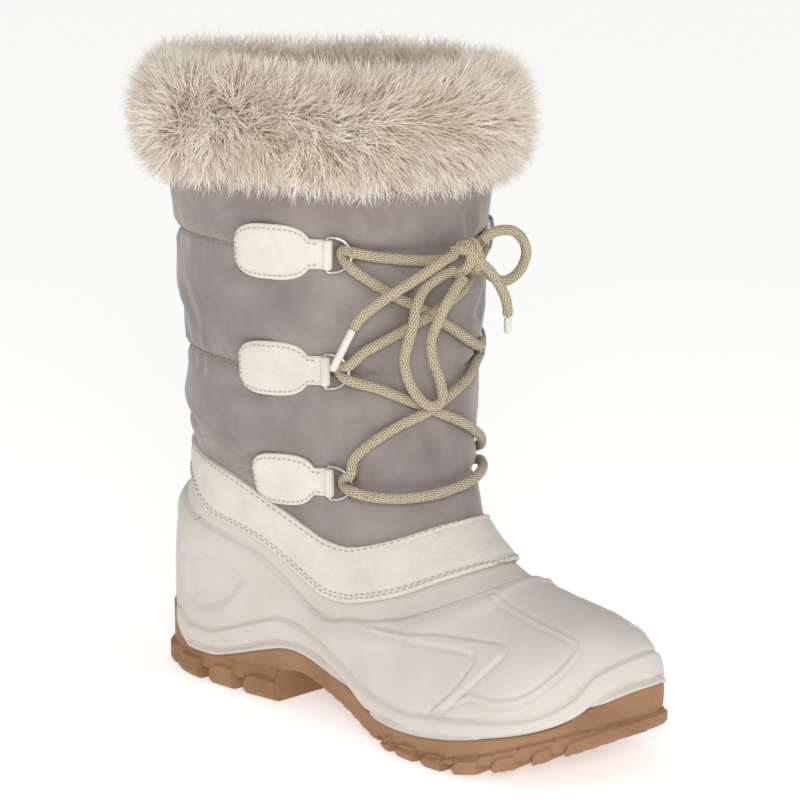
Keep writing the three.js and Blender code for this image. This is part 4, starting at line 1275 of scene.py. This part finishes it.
def makeInsole():
    inset, thick = -4.2, 4.6
    turn = (1 - np.cos(np.linspace(0, math.pi, 90))) / 2
    x = 2.6 + turn * (274.5 - 2.6)
    middle = middleAt(x)
    halves = []
    for side in (-1, 1):
        half = np.maximum(halfWidth(x, np.zeros_like(x), side) + inset, 0)
        half *= np.sqrt(1 - (1 - np.minimum(np.minimum(x - 2.6, 274.5 - x) / 9, 1)) ** 2)
        columns = []
        bed = footbedTop(x) + 0.4
        for share, lift in [(0, 0), (0.5, 0), (1, 0), (1, thick * 0.75), (0.975, thick), (0.8, thick - 0.3),
                            (0.55, thick - 0.6), (0.25, thick - 0.8), (0, thick - 0.8)]:
            columns.append(np.stack([x, middle + side * half * share, bed + lift], 1))
        halves.append(np.stack(columns, 1))
    rows, columns = halves[0].shape[:2]
    faces = gridFaces(rows, columns)
    points = np.concatenate([half.reshape(-1, 3) for half in halves])
    faces = np.concatenate([faces, faces[:, ::-1] + rows * columns])
    points, faces = weld(points, faces)
    if vertexNormals(points, faces)[points[:, 2].argmax(), 2] < 0:
        faces = faces[:, ::-1]
    sole = addPiece("insole_felt", points, faces, felt)
    settle(sole, "insole_felt", "insole")


makeOutsole()
makeInsole()

# Lace tabs and their rings, at plan angles round the leg from its front.
tabRows = [
    {"name": "top", "z": 226, "near": 83, "fold": 46, "ringZ": 226.3, "lift": 1.7},
    {"name": "middle", "z": 170.5, "near": 84.5, "fold": 46, "ringZ": 172.2, "lift": 1.7},
    {"name": "bottom", "z": 116.5, "near": 83, "fold": 43, "ringZ": 118.8, "lift": 2.3},
]
tab = {"thick": 1.8, "high": 25.5, "neckHigh": 13.5, "middle": 0.42, "round": 3, "columns": 46, "rows": 26}
fold = {"out": 1.8, "radius": 2.3}
dRing = {"wire": 0.8, "high": 8, "long": 9, "lead": 2, "turn": 102, "bar": 0.55}


def legPoint(angle, z):
    turn = math.radians(angle)
    out = Vector((math.cos(turn), math.sin(turn), 0))
    hit = lastBvh.ray_cast(Vector((boot["legAxisX"], 0, z)) + out * 220, -out)[0]
    return np.array(hit)


def legFrame(angle, z):
    across = unit(legPoint(angle + 4, z) - legPoint(angle - 4, z))
    rise = unit(legPoint(angle, z + 6) - legPoint(angle, z - 6))
    out = unit(np.cross(across, rise))
    return legPoint(angle, z), across, out, unit(np.cross(out, across))


def tabHalf(share):
    off = min(abs(share / tab["middle"] - 1), 1)
    oval = tab["high"] / 2 * (1 - off ** tab["round"]) ** (1 / tab["round"])
    return oval if share < tab["middle"] else max(oval, tab["neckHigh"] / 2)


def tabPoint(row, side, share, v, lift):
    angle = side * (row["near"] + (row["fold"] - row["near"]) * share)
    z = row["z"] + (row["ringZ"] - row["z"]) * share
    out = legFrame(angle, z)[2]
    return legPoint(angle, z + v * tabHalf(share)) + out * lift


def makeTab(row, side):
    shares = 1 - np.cos(np.linspace(0, math.pi / 2, tab["columns"]))
    top, under = [], []
    for share in shares:
        half = tabHalf(share)
        reach = share * 52
        for v in np.linspace(-1, 1, tab["rows"]):
            edge = min((1 - abs(v)) * half, reach + (1 - abs(v)) * 0.01)
            soft = 0.75 * (1 - float(ease(edge / 1.1)))
            pillow = 0.35 * float(ease((edge - 2) / 4))
            pressed = -0.25 * math.exp(-((edge - 1.8) / 0.5) ** 2)
            top.append(tabPoint(row, side, share, v, row["lift"] + tab["thick"] - soft + pillow + pressed))
            under.append(tabPoint(row, side, share, v, row["lift"]))
    count = tab["columns"] * tab["rows"]
    leaf = gridFaces(tab["columns"], tab["rows"])
    at = lambda i, j: i * tab["rows"] + j
    rim = [at(i, 0) for i in range(tab["columns"])]
    rim += [at(tab["columns"] - 1, j) for j in range(1, tab["rows"])]
    rim += [at(i, tab["rows"] - 1) for i in range(tab["columns"] - 2, -1, -1)]
    a = np.array(rim)
    b = np.roll(a, -1)
    wall = np.concatenate([np.stack([a, b, b + count], 1), np.stack([a, b + count, a + count], 1)])
    points, faces = weld(np.array(top + under), np.concatenate([leaf[:, ::-1], leaf + count, wall]))
    out = legFrame(side * 70, row["z"])[2]
    middle = points.mean(0)
    facing = (vertexNormals(points, faces) @ out)[((points - middle) @ out) > 0].mean()
    if facing < 0:
        faces = faces[:, ::-1]
    at, across, out, up = legFrame(side * row["fold"], row["ringZ"])
    centre = at + out * (row["lift"] + fold["out"])
    path = centre + up * np.linspace(-1, 1, 19)[:, None] * tab["neckHigh"] / 2
    swell = np.sqrt(1 - (1 - clamp(np.minimum(np.arange(19), np.arange(19)[::-1]) / 2 + 0.4)) ** 2)
    roll = tubeGrid(path, 2 * fold["radius"], 18, swell=swell).reshape(-1, 3)
    rollFaces = gridFaces(19, 18, wrapColumns=True)
    caps = []
    for start, flip in ((0, 1), (18 * 18, -1)):
        ring = [start + j for j in range(18)][::flip]
        caps += [(ring[0], ring[j + 1], ring[j]) for j in range(1, 17)]
    rollFaces = np.concatenate([rollFaces, np.array(caps)])
    normals = vertexNormals(roll, rollFaces)
    if (normals * (roll - centre)).sum(1).mean() < 0:
        rollFaces = rollFaces[:, ::-1]
    faces = np.concatenate([faces, rollFaces + len(points)])
    name = {-1: "lateral", 1: "medial"}[side]
    piece = addPiece(f"laceTab_{row['name']}_{name}", np.concatenate([points, roll]), faces, tabSkin)
    settle(piece, "tab_leather", f"tab_{row['name']}_{name}")


def makeRing(row, side):
    at, across, out, up = legFrame(side * row["fold"], row["ringZ"])
    middle = at + out * (row["lift"] + fold["out"])
    place = lambda u, v: middle - across * side * u + up * v
    turns = np.radians(np.linspace(-dRing["turn"], dRing["turn"], 17))
    bow = [place(dRing["lead"] + dRing["long"] * math.cos(t), dRing["high"] * math.sin(t)) for t in turns]
    start = dRing["lead"] + dRing["long"] * math.cos(turns[0])
    bow += [place(start, share * dRing["high"]) for share in (dRing["bar"], 0, -dRing["bar"])]
    path = smoothPath(bow, 0.7, closed=True)
    name = {-1: "lateral", 1: "medial"}[side]
    ring = addTube(f"dRing_{row['name']}_{name}", [path], 2 * dRing["wire"], 12, steel, closed=True)
    settle(ring, "ring_metal", f"d_ring_{row['name']}_{name}")


for row in tabRows:
    for side in (-1, 1):
        makeTab(row, side)
        makeRing(row, side)

# Stitches. Each seam is a path on a finished surface, and a Geometry Nodes tree sews along it.
stitch = {"thick": 0.42, "bandPitch": 3.4, "tabPitch": 2.6, "seamPitch": 2.7, "fill": 0.72}


def surfaceTree(piece):
    mesh = piece.data
    points = np.zeros(len(mesh.vertices) * 3)
    mesh.vertices.foreach_get("co", points)
    points = points.reshape(-1, 3) * 1000 + [boot["halfLong"], 0, 0]
    faces = [tuple(face.vertices) for face in mesh.polygons]
    return BVHTree.FromPolygons(points.tolist(), faces)


def addInput(tree, name, kind, value):
    socket = tree.interface.new_socket(name=name, in_out="INPUT", socket_type=kind)
    if value is not None:
        socket.default_value = value
    return socket.identifier


def stitchTree():
    tree = bpy.data.node_groups.new("sewStitches", "GeometryNodeTree")
    names = {"path": addInput(tree, "Geometry", "NodeSocketGeometry", None)}
    names["pitch"] = addInput(tree, "Stitch pitch", "NodeSocketFloat", 0.003)
    names["thick"] = addInput(tree, "Thread thickness", "NodeSocketFloat", 0.0005)
    names["fill"] = addInput(tree, "Share of pitch sewn", "NodeSocketFloat", 0.7)
    names["material"] = addInput(tree, "Thread", "NodeSocketMaterial", None)
    tree.interface.new_socket(name="Geometry", in_out="OUTPUT", socket_type="NodeSocketGeometry")
    start = addNode(tree, "NodeGroupInput").outputs
    curve = addNode(tree, "GeometryNodeMeshToCurve", {"Mesh": start["Geometry"]})
    even = addNode(tree, "GeometryNodeResampleCurve", {
        "Curve": curve.outputs[0], "Length": start["Stitch pitch"],
    }, mode="LENGTH")
    tangent = addNode(tree, "GeometryNodeInputTangent")
    turn = addNode(tree, "FunctionNodeAlignRotationToVector", {"Vector": tangent.outputs[0]}, axis="Z")
    ball = addNode(tree, "GeometryNodeMeshUVSphere", {"Segments": 6, "Rings": 5, "Radius": 0.5})
    sewn = math2(tree, "MULTIPLY", start["Stitch pitch"], start["Share of pitch sewn"])
    size = addNode(tree, "ShaderNodeCombineXYZ", {
        0: start["Thread thickness"], 1: start["Thread thickness"], 2: sewn,
    })
    put = addNode(tree, "GeometryNodeInstanceOnPoints", {
        "Points": even.outputs[0], "Instance": ball.outputs[0], "Rotation": turn.outputs[0],
        "Scale": size.outputs[0],
    })
    real = addNode(tree, "GeometryNodeRealizeInstances", {"Geometry": put.outputs[0]})
    smooth = addNode(tree, "GeometryNodeSetShadeSmooth", {"Geometry": real.outputs[0]})
    painted = addNode(tree, "GeometryNodeSetMaterial", {
        "Geometry": smooth.outputs[0], "Material": start["Thread"],
    })
    addNode(tree, "NodeGroupOutput", {"Geometry": painted.outputs[0]})
    return tree, names


# Runs a tree on an object once and keeps the result as a plain mesh.
def grow(name, source, tree, values):
    modifier = source.modifiers.new("grow", "NODES")
    modifier.node_group = tree
    for identifier, value in values.items():
        modifier[identifier] = value
    evaluated = source.evaluated_get(bpy.context.evaluated_depsgraph_get())
    mesh = bpy.data.meshes.new_from_object(evaluated)
    mesh.name = name
    piece = bpy.data.objects.new(name, mesh)
    bpy.context.scene.collection.objects.link(piece)
    source.modifiers.remove(modifier)
    bpy.data.objects.remove(source)
    return piece


def sew(name, paths, pitch, thick, slot, yarn):
    points, edges = [], []
    for path in paths:
        edges += [(len(points) + i, len(points) + i + 1) for i in range(len(path) - 1)]
        points += toFrame(path).tolist()
    mesh = bpy.data.meshes.new(name + "Path")
    mesh.from_pydata(points, edges, [])
    source = bpy.data.objects.new(name + "Path", mesh)
    bpy.context.scene.collection.objects.link(source)
    tree, names = sewing
    piece = grow(name, source, tree, {
        names["pitch"]: pitch / 1000,
        names["thick"]: thick / 1000,
        names["fill"]: stitch["fill"],
        names["material"]: yarn,
    })
    settle(piece, slot)
    return piece


# A path at a distance inside the upper or lower edge of a strip of the last, round the front.
def edgePath(highLine, lowLine, inset, fromLow, tree, lift=0.2):
    stations = np.linspace(0, len(sections) - 1, 1201)
    start, end = shareRange(stations, highLine, lowLine)
    valid = np.flatnonzero(end - start > 0.004)
    halves = []
    for side in (-1, 1):
        path = []
        for i in valid:
            share = np.linspace(start[i], end[i], 60)
            row = lastPoint(np.full(60, stations[i]), share, side)
            run = np.concatenate([[0], np.cumsum(np.linalg.norm(np.diff(row, axis=0), axis=1))])
            if run[-1] < inset * 1.6:
                continue
            at = run[-1] - inset if fromLow else inset
            if not fromLow and start[i] < 1e-6:
                continue
            path.append([np.interp(at, run, row[:, axis]) for axis in range(3)])
        halves.append(np.array(path))
    whole = np.concatenate([halves[0][::-1], halves[1]])
    return onSurface(smoothPath(thinned(whole, 3), 0.8), tree, lift)


def thinned(path, gap):
    kept = [path[0]]
    for point in path[1:]:
        if np.linalg.norm(point - kept[-1]) >= gap:
            kept.append(point)
    return np.array(kept)


def onSurface(path, tree, lift):
    found = []
    for point in path:
        spot, out, _, _ = lastBvh.find_nearest(Vector(point))
        hit = tree.ray_cast(spot + out * 12, -out)[0]
        if hit is not None:
            found.append(tuple(hit + out * lift))
    return np.array(found)


def shaftPath(level, tree, lift=0.1, wave=0.0, pitch=4.0, reach=48):
    path = []
    for angle in np.arange(reach, 360 - reach + 0.5, 1.0):
        turn = math.radians(angle)
        out = Vector((math.cos(turn), math.sin(turn), 0))
        z = level + wave * math.sin(2 * math.pi * math.radians(angle) * boot["legRadius"] / pitch)
        hit, normal, _, _ = tree.ray_cast(Vector((boot["legAxisX"], 0, z)) + out * 220, -out)
        path.append(tuple(hit + normal * lift))
    return np.array(path)


def makeStitches():
    bandTree = surfaceTree(band)
    upperEdge = [edgePath(bandUpper, bandLower, 2.2, False, bandTree)]
    lowerEdge = [edgePath(bandUpper, bandLower, inset, True, bandTree) for inset in (2.6, 4.8)]
    sew("bandStitches", upperEdge + lowerEdge, stitch["bandPitch"], 0.6, "band_leather", bandThread)
    shaftTree = surfaceTree(shaft)
    rows = []
    for level in seamLevels[1:4]:
        for shift in (-1.9, 0, 1.9):
            rows.append(shaftPath(level + shift, shaftTree))
    sew("seamStitches", rows, stitch["seamPitch"], 0.5, "shaft_textile", thread)
    outlines = []
    for row in tabRows:
        for side in (-1, 1):
            lower, higher = [], []
            for share in 1 - np.cos(np.linspace(0.27, math.pi / 2 - 0.12, 30)):
                half = tabHalf(share)
                v = max(half - 1.9, 0) / half
                lift = row["lift"] + tab["thick"] + 0.22
                lower.append(tabPoint(row, side, share, -v, lift))
                higher.append(tabPoint(row, side, share, v, lift))
            outlines.append(smoothPath(thinned(lower[::-1] + higher, 1.0), 0.6))
    sew("tabStitches", outlines, stitch["tabPitch"], 0.55, "tab_leather", bandThread)


lacePath = laceRoute()
shell = makeShell()
shaft = makeShaft()
band = makeBand()
makeLaces()
sewing = stitchTree()
makeStitches()

# Fur collar: a soft ground ring, and strands combed away from a parting, grown by Geometry Nodes.
fur = {
    "low": 263.0, "high": 301.5,
    "middle": 2.0, "half": 8.8, "square": 2.3,
    "turns": 150, "sides": 44,
    "strand": 14.5, "width": 0.4,
    "count": 23000, "parts": 3, "seed": 11,
}


def furRing(around):
    bent = lambda value: np.sign(value) * np.abs(value) ** (2 / fur["square"])
    height = (fur["high"] - fur["low"]) / 2
    z = fur["low"] + height * (1 + bent(np.sin(around)))
    lift = fur["middle"] + fur["half"] * bent(np.cos(around))
    return z, lift


def furComb(angle, around, out, normal):
    degrees = np.degrees(angle)
    up = np.array([0, 0, 1.0])
    forward = np.stack([-np.sin(angle), np.cos(angle), np.zeros_like(angle)], 1)
    level = np.sin(around)
    outer = ease((np.cos(around) + 0.5) / 0.6)
    parting = (degrees + 118 + 180) % 360 - 180
    sweep = np.tanh(parting / 40) * (1 - 0.6 * ease(np.abs(parting) / 150))
    fall = 0.95 * level - 0.12
    comb = normal * 0.5 + forward * (sweep * outer * 0.72)[:, None] + up * (fall * outer)[:, None]
    comb += up * ((1 - outer) * 0.75)[:, None]
    comb += out * ((1 - outer) * 0.1)[:, None]
    tuft = bump(degrees + 22, 15) * bump(level + 0.45, 0.7) * outer
    comb += up * (-1.1 * tuft)[:, None] + forward * (-0.3 * tuft)[:, None]
    return unit(comb)


def makePelt():
    turns, sides = fur["turns"], fur["sides"]
    angles = np.linspace(0, 2 * math.pi, turns, endpoint=False)
    arounds = np.linspace(0, 2 * math.pi, sides, endpoint=False)
    points = np.zeros((turns, sides, 3))
    for i, angle in enumerate(angles):
        z, lift = furRing(arounds)
        for j in range(sides):
            spot = legPoint(math.degrees(angle), z[j])
            wave = 1.1 * math.sin(3 * angle + 1) * math.sin(arounds[j] * 2) + 0.9 * math.sin(7 * angle + 2)
            out = np.array([math.cos(angle), math.sin(angle), 0])
            points[i, j] = spot + out * (lift[j] + 0.5 * wave) + [0, 0, 0.8 * math.sin(4 * angle + 0.5)]
    flat = points.reshape(-1, 3)
    faces = gridFaces(turns, sides, wrapRows=True, wrapColumns=True)
    angle, around = [grid.ravel() for grid in np.meshgrid(angles, arounds, indexing="ij")]
    normals = vertexNormals(flat, faces)
    out = np.stack([np.cos(angle), np.sin(angle), np.zeros_like(angle)], 1)
    outside = np.cos(around) > 0.9
    if (normals[outside] * out[outside]).sum(1).mean() < 0:
        faces = faces[:, ::-1]
        normals = -normals
    pelt = addPiece("furGround", flat, faces, ground, sharp=None)
    comb = furComb(angle, around, out, normals)
    layer = pelt.data.attributes.new("comb", "FLOAT_VECTOR", "POINT")
    layer.data.foreach_set("vector", comb.ravel())
    shade = pelt.data.attributes.new("cover", "FLOAT", "POINT")
    cover = 0.35 + 0.65 * ease((np.cos(around) + 0.75) / 0.5)
    shade.data.foreach_set("value", np.maximum(cover, ease(np.sin(around) / 0.4)))
    settle(pelt, "fur_pile", "fur_collar")
    return pelt


# One strand: a tapered ribbon that curls over towards its tip, of unit length.
def strandMesh():
    levels = np.array([0, 0.3, 0.58, 0.82])
    bend = 0.42 * levels ** 2
    width = np.array([0.8, 1.0, 0.85, 0.5]) / 2
    points, uv = [], []
    for z, x, half in zip(levels, bend, width):
        points += [(x, -half, z), (x, half, z)]
        uv += [(0, z), (1, z)]
    points.append((0.46, 0, 0.96))
    uv.append((0.5, 1))
    faces = []
    for i in range(3):
        a = 2 * i
        faces += [(a, a + 1, a + 3), (a, a + 3, a + 2)]
    faces.append((6, 7, 8))
    mesh = bpy.data.meshes.new("strand")
    mesh.from_pydata(points, [], faces)
    layer = mesh.uv_layers.new(name="surface")
    for loop in mesh.loops:
        layer.data[loop.index].uv = uv[loop.vertex_index]
    mesh.polygons.foreach_set("use_smooth", [True] * len(mesh.polygons))
    strand = bpy.data.objects.new("strand", mesh)
    bpy.context.scene.collection.objects.link(strand)
    return strand


def furTree():
    tree = bpy.data.node_groups.new("growFur", "GeometryNodeTree")
    names = {"ground": addInput(tree, "Geometry", "NodeSocketGeometry", None)}
    names["strand"] = addInput(tree, "Strand", "NodeSocketObject", None)
    names["density"] = addInput(tree, "Strands per square metre", "NodeSocketFloat", 1000.0)
    names["length"] = addInput(tree, "Strand length", "NodeSocketFloat", 0.017)
    names["width"] = addInput(tree, "Strand width", "NodeSocketFloat", 0.0006)
    names["seed"] = addInput(tree, "Seed", "NodeSocketInt", 1)
    names["material"] = addInput(tree, "Pile", "NodeSocketMaterial", None)
    tree.interface.new_socket(name="Geometry", in_out="OUTPUT", socket_type="NodeSocketGeometry")
    start = addNode(tree, "NodeGroupInput").outputs
    cover = addNode(tree, "GeometryNodeInputNamedAttribute", {"Name": "cover"}, data_type="FLOAT")
    density = math2(tree, "MULTIPLY", start["Strands per square metre"], cover.outputs["Attribute"])
    scatter = addNode(tree, "GeometryNodeDistributePointsOnFaces", {
        "Mesh": start["Geometry"], "Density": density, "Seed": start["Seed"],
    })
    comb = addNode(tree, "GeometryNodeInputNamedAttribute", {"Name": "comb"}, data_type="FLOAT_VECTOR")
    place = addNode(tree, "GeometryNodeInputPosition").outputs[0]
    lock = addNode(tree, "ShaderNodeTexNoise", {"Vector": place, "Scale": perMetre(15), "Detail": 2.0})
    wisp = addNode(tree, "ShaderNodeTexNoise", {"Vector": place, "Scale": perMetre(4.5), "Detail": 1.0})
    directions = comb.outputs["Attribute"]
    for field, strength in ((lock, 2.2), (wisp, 1.1)):
        offset = addNode(tree, "ShaderNodeVectorMath", {0: field.outputs["Color"], 1: (0.5, 0.5, 0.5)},
                         operation="SUBTRACT")
        scaled = addNode(tree, "ShaderNodeVectorMath", {0: offset.outputs[0], "Scale": strength},
                         operation="SCALE")
        directions = addNode(tree, "ShaderNodeVectorMath", {0: directions, 1: scaled.outputs[0]},
                             operation="ADD").outputs[0]
    turn = addNode(tree, "FunctionNodeAlignRotationToVector", {"Vector": directions}, axis="Z")
    spin = addNode(tree, "FunctionNodeRandomValue", {"Max": (0.12, 0.12, 6.283), "Seed": start["Seed"]},
                   data_type="FLOAT_VECTOR")
    euler = addNode(tree, "FunctionNodeEulerToRotation", {0: spin.outputs[0]})
    turned = addNode(tree, "FunctionNodeRotateRotation", {0: turn.outputs[0], 1: euler.outputs[0]},
                     rotation_space="LOCAL")
    shape = addNode(tree, "GeometryNodeObjectInfo", {"Object": start["Strand"], "As Instance": True})
    share = addNode(tree, "FunctionNodeRandomValue", {2: 0.62, 3: 1.12, "Seed": 5}, data_type="FLOAT")
    long = math2(tree, "MULTIPLY", start["Strand length"], share.outputs[1])
    size = addNode(tree, "ShaderNodeCombineXYZ", {0: long, 1: start["Strand width"], 2: long})
    put = addNode(tree, "GeometryNodeInstanceOnPoints", {
        "Points": scatter.outputs[0], "Instance": shape.outputs["Geometry"],
        "Rotation": turned.outputs[0], "Scale": size.outputs[0],
    })
    tone = addNode(tree, "FunctionNodeRandomValue", {"Seed": 9}, data_type="FLOAT")
    marked = addNode(tree, "GeometryNodeStoreNamedAttribute", {
        "Geometry": put.outputs[0], "Name": "tone", "Value": tone.outputs[1],
    }, data_type="FLOAT", domain="INSTANCE")
    real = addNode(tree, "GeometryNodeRealizeInstances", {"Geometry": marked.outputs[0]})
    painted = addNode(tree, "GeometryNodeSetMaterial", {
        "Geometry": real.outputs[0], "Material": start["Pile"],
    })
    addNode(tree, "NodeGroupOutput", {"Geometry": painted.outputs[0]})
    return tree, names


def makeFur():
    pelt = makePelt()
    strand = strandMesh()
    tree, names = furTree()
    area = sum(face.area for face in pelt.data.polygons)
    for part in range(fur["parts"]):
        source = pelt.copy()
        source.data = pelt.data.copy()
        bpy.context.scene.collection.objects.link(source)
        piece = grow(f"furStrands_{part + 1}", source, tree, {
            names["strand"]: strand,
            names["density"]: fur["count"] / area,
            names["length"]: fur["strand"] / 1000,
            names["width"]: fur["width"] / 1000,
            names["seed"]: fur["seed"] + part,
            names["material"]: pile,
        })
        settle(piece, "fur_pile")
    bpy.data.objects.remove(strand)


makeFur()


boxes = {"cad": cadBounds, "visual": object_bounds()}
corners = {name: [list(corner) for corner in box] for name, box in boxes.items()}
{name: np.asarray(box).tolist() for name, box in corners.items()}
